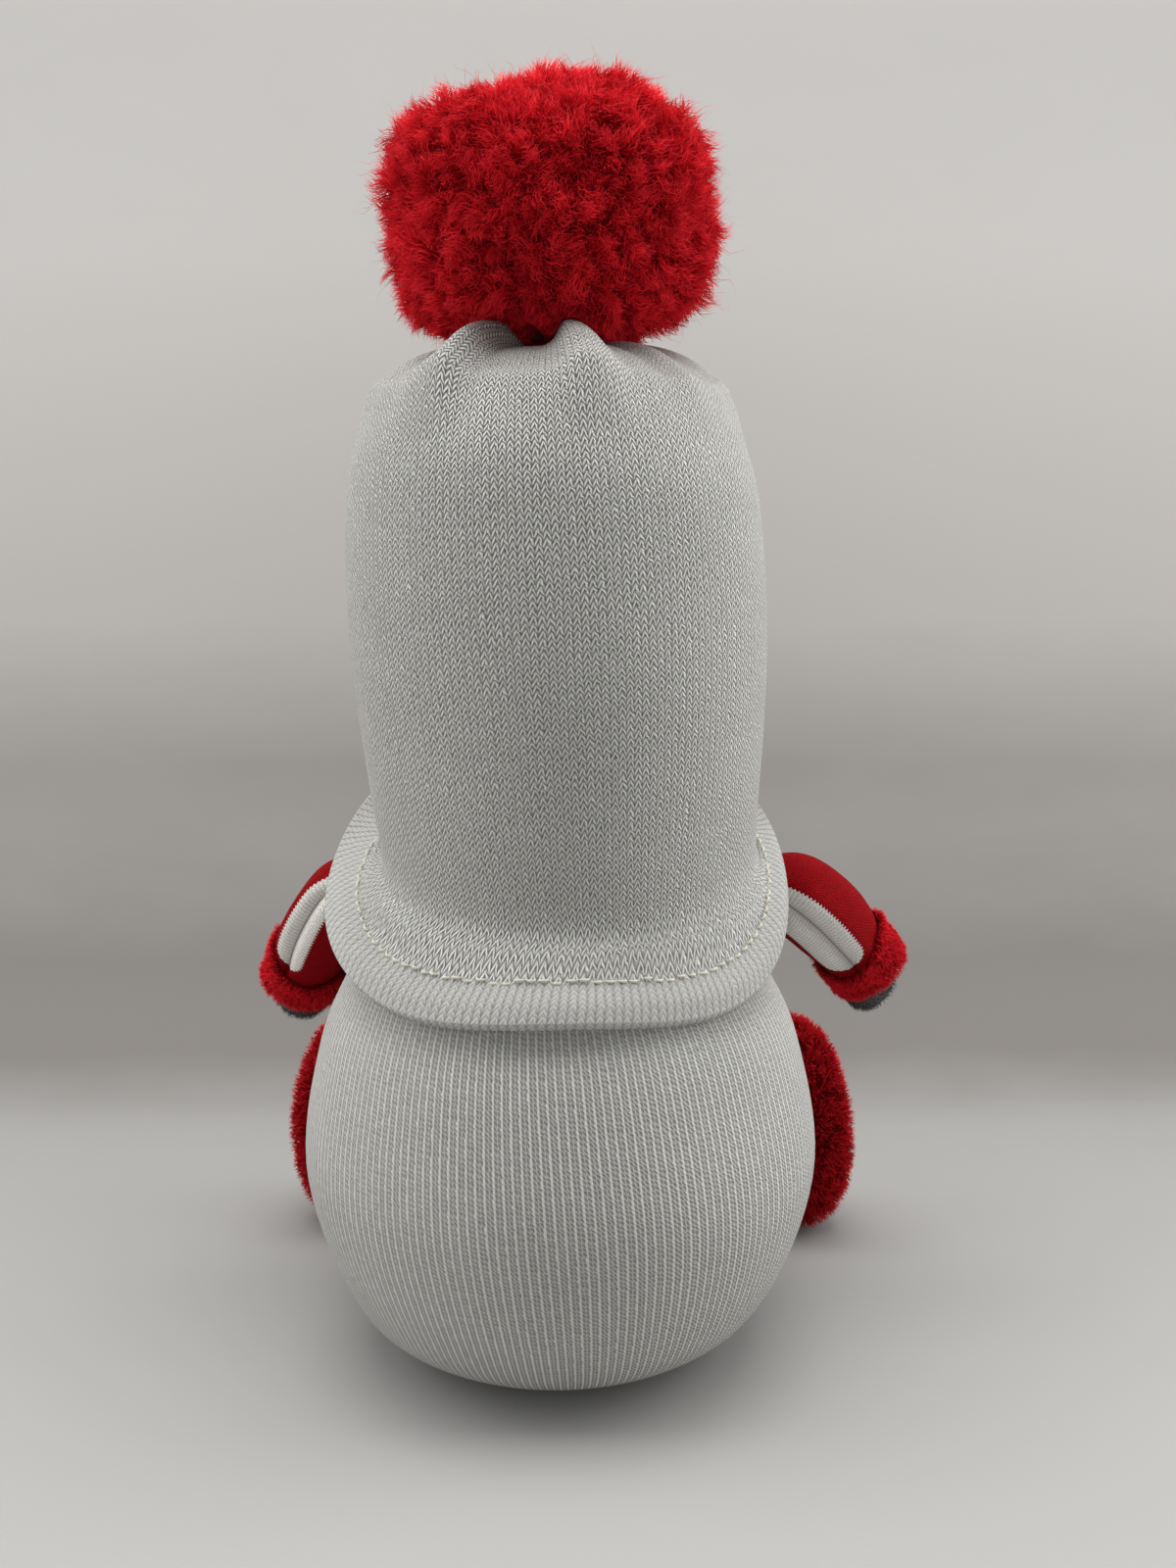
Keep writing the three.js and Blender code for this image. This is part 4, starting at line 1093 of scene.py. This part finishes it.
hip_height, leg_radius, hip_reach, boot_reach = 20, 10.5, 70.31, 93.31
boot_half_width, boot_half_depth, boot_height, boot_pile = 25, 17, 66.8, 4.2
# Painted shade: the boots' pile is a darker copy of the red pile, with roots darker still.
boot_red_shaded = pile_finish("red_boot_pile_shaded", (0.05, 0.0004, 0.001), (0.28, 0.0015, 0.004),
                       (0.66, 0.014, 0.022), 0.4)
boot_side = smooth_line([(0.55, 0), (0.86, 0.14), (1, 0.42), (0.9, 0.7), (0.62, 0.92), (0.18, 1)], 40)
leg_knit = knit_finish("red_leg_knit", (0.50, 0.0045, 0.009), (0.16, 0.001, 0.0025), 46, 18,
                       relief=0.2, gloss=0.06)
leg_stations = smooth_line([
    (-10.4, 1.5), (-9, 5.4), (-5.5, 9), (0, leg_radius), (7, 10.9), (14, 10.2), (21, 9.4)], 36)

for word, side, splay in (("left", 1, 41), ("right", -1, 49)):
    splay = math.radians(splay)
    outward = np.array([side * math.sin(splay), -math.cos(splay), 0])
    across = np.array([-outward[1], outward[0], 0])
    turns = turns_round(64)
    leg_rings = []
    for run, radius in leg_stations:
        centre = outward * (hip_reach + run) + [0, 0, hip_height]
        leg_rings.append(centre + across * (radius * np.cos(turns))[:, None]
                         + np.array([0, 0, 1]) * (radius * np.sin(turns))[:, None])
    leg = sew_skin(f"leg_skin_{word}", leg_rings, leg_knit)
    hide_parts(f"leg_{word}")
    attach(leg, f"leg_{word}")

    def boot_spot(share, turn, inset):
        """A place on the boot, set in from its tips, with the direction that its pile stands in."""
        half = np.interp(share, boot_side[:, 1], boot_side[:, 0])
        depth_way, width_way = np.cos(turn), np.sin(turn)
        bulge = waves(160 + side, 8, 2.5 * width_way, 2.5 * depth_way, share * 6)
        spot = (outward * ((boot_half_depth - inset + bulge) * half * depth_way)[..., None]
                + across * ((boot_half_width - inset + bulge) * half * width_way)[..., None]
                + outward * boot_reach)
        spot[..., 2] = inset + (boot_height - 2 * inset) * share
        stand = (outward * (depth_way / boot_half_depth)[..., None] * 20
                 + across * (width_way / boot_half_width)[..., None] * 20)
        stand[..., 2] = np.interp(share, [0, 0.1, 0.42, 0.8, 1], [-0.9, -0.5, 0, 0.8, 2.2])
        return spot, unit(stand)

    boot_rings = []
    boot_turn = turns_round(72)
    for share in [*np.linspace(0, 0.1, 5), *np.linspace(0.12, 0.9, 30), *np.linspace(0.92, 1, 7)]:
        boot_rings.append(boot_spot(np.full(len(boot_turn), share), boot_turn, boot_pile)[0])
    boot = sew_skin(f"boot_ground_{word}", boot_rings, red_backing)
    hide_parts(f"boot_fur_{word}")
    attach(boot, f"leg_{word}")

    for part in range(2):
        dice = np.random.default_rng(170 + side * 2 + part)
        share = dice.uniform(0.0, 1.0, 8800)
        turn = dice.uniform(0, math.tau, len(share))
        roots, stand = boot_spot(share, turn, boot_pile + 0.4)
        # No pile grows where the leg goes in.
        from_hip = roots - [0, 0, hip_height]
        from_leg = np.linalg.norm(from_hip - outward * (from_hip @ outward)[:, None], axis=1)
        keep = (from_leg > leg_radius + 1.5) | ((roots @ outward) > boot_reach)
        roots, stand = roots[keep], stand[keep]
        pile = grow_short_pile(f"boot_pile_{word}_{part + 1}", dice, roots, stand,
                               stand + [0, 0, -0.1], 420, boot_pile * 0.85, boot_pile * 1.3,
                               0.15, 0.8, boot_red_shaded, 180 + side * 2 + part, floor=0.1)
        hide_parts(f"boot_fur_{word}")
        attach(pile, f"leg_{word}")


# Fillings, cords and backing
# What is sewn up inside: polyester fibre, a cloth bag of plastic pellets, the cords that draw
# the neck and crown shut, the fur ball's tie and the beard's woven backing.

def cord_finish(name, dark, light):
    """Twisted cotton cord, darker where its strands meet, as painted shade."""
    return mottled_finish(name, 0.85, "Wave", (900.0, 2.0, 2.0), [(0.1, *dark), (0.8, *light)],
                          0.0002, 0.7, inside=True)


filling = mottled_finish("fibre_filling", 1.0, "Noise", (None, 220.0, 6.0, 0.7),
                         [(0.3, 0.62, 0.62, 0.60), (0.7, 0.86, 0.86, 0.84)], 0.002,
                         inside=True, sockets={"Sheen Weight": 0.2})
pellet_cloth = mottled_finish("pellet_bag_cloth", 0.9, "Voronoi", (None, 260.0),
                              [(0.1, 0.80, 0.79, 0.76), (0.7, 0.52, 0.51, 0.48)], 0.001, inside=True)
ground_cloth = mottled_finish("woven_ground", 0.95, "Noise", (None, 900.0, 3.0, 0.6),
                              [(0.3, 0.45, 0.44, 0.41), (0.7, 0.66, 0.65, 0.61)], 0.0003, 0.8,
                              inside=True)
cord = cord_finish("cotton_cord", (0.40, 0.36, 0.27), (0.70, 0.66, 0.54))
red_cord = cord_finish("red_cotton_cord", (0.12, 0.001, 0.003), (0.42, 0.006, 0.012))

for filled in ("body", "hat", "pompom", "nose"):
    refinish(f"{filled}_stuffing", filling)
for word in ("left", "right"):
    refinish(f"sleeve_stuffing_{word}", filling)
    refinish(f"boot_stuffing_{word}", filling)
refinish("pellet_bag", pellet_cloth)
refinish("neck_tie", cord)
refinish("crown_thread", red_cord)
refinish("pompom_tie", red_cord)
refinish("beard_backing", ground_cloth)
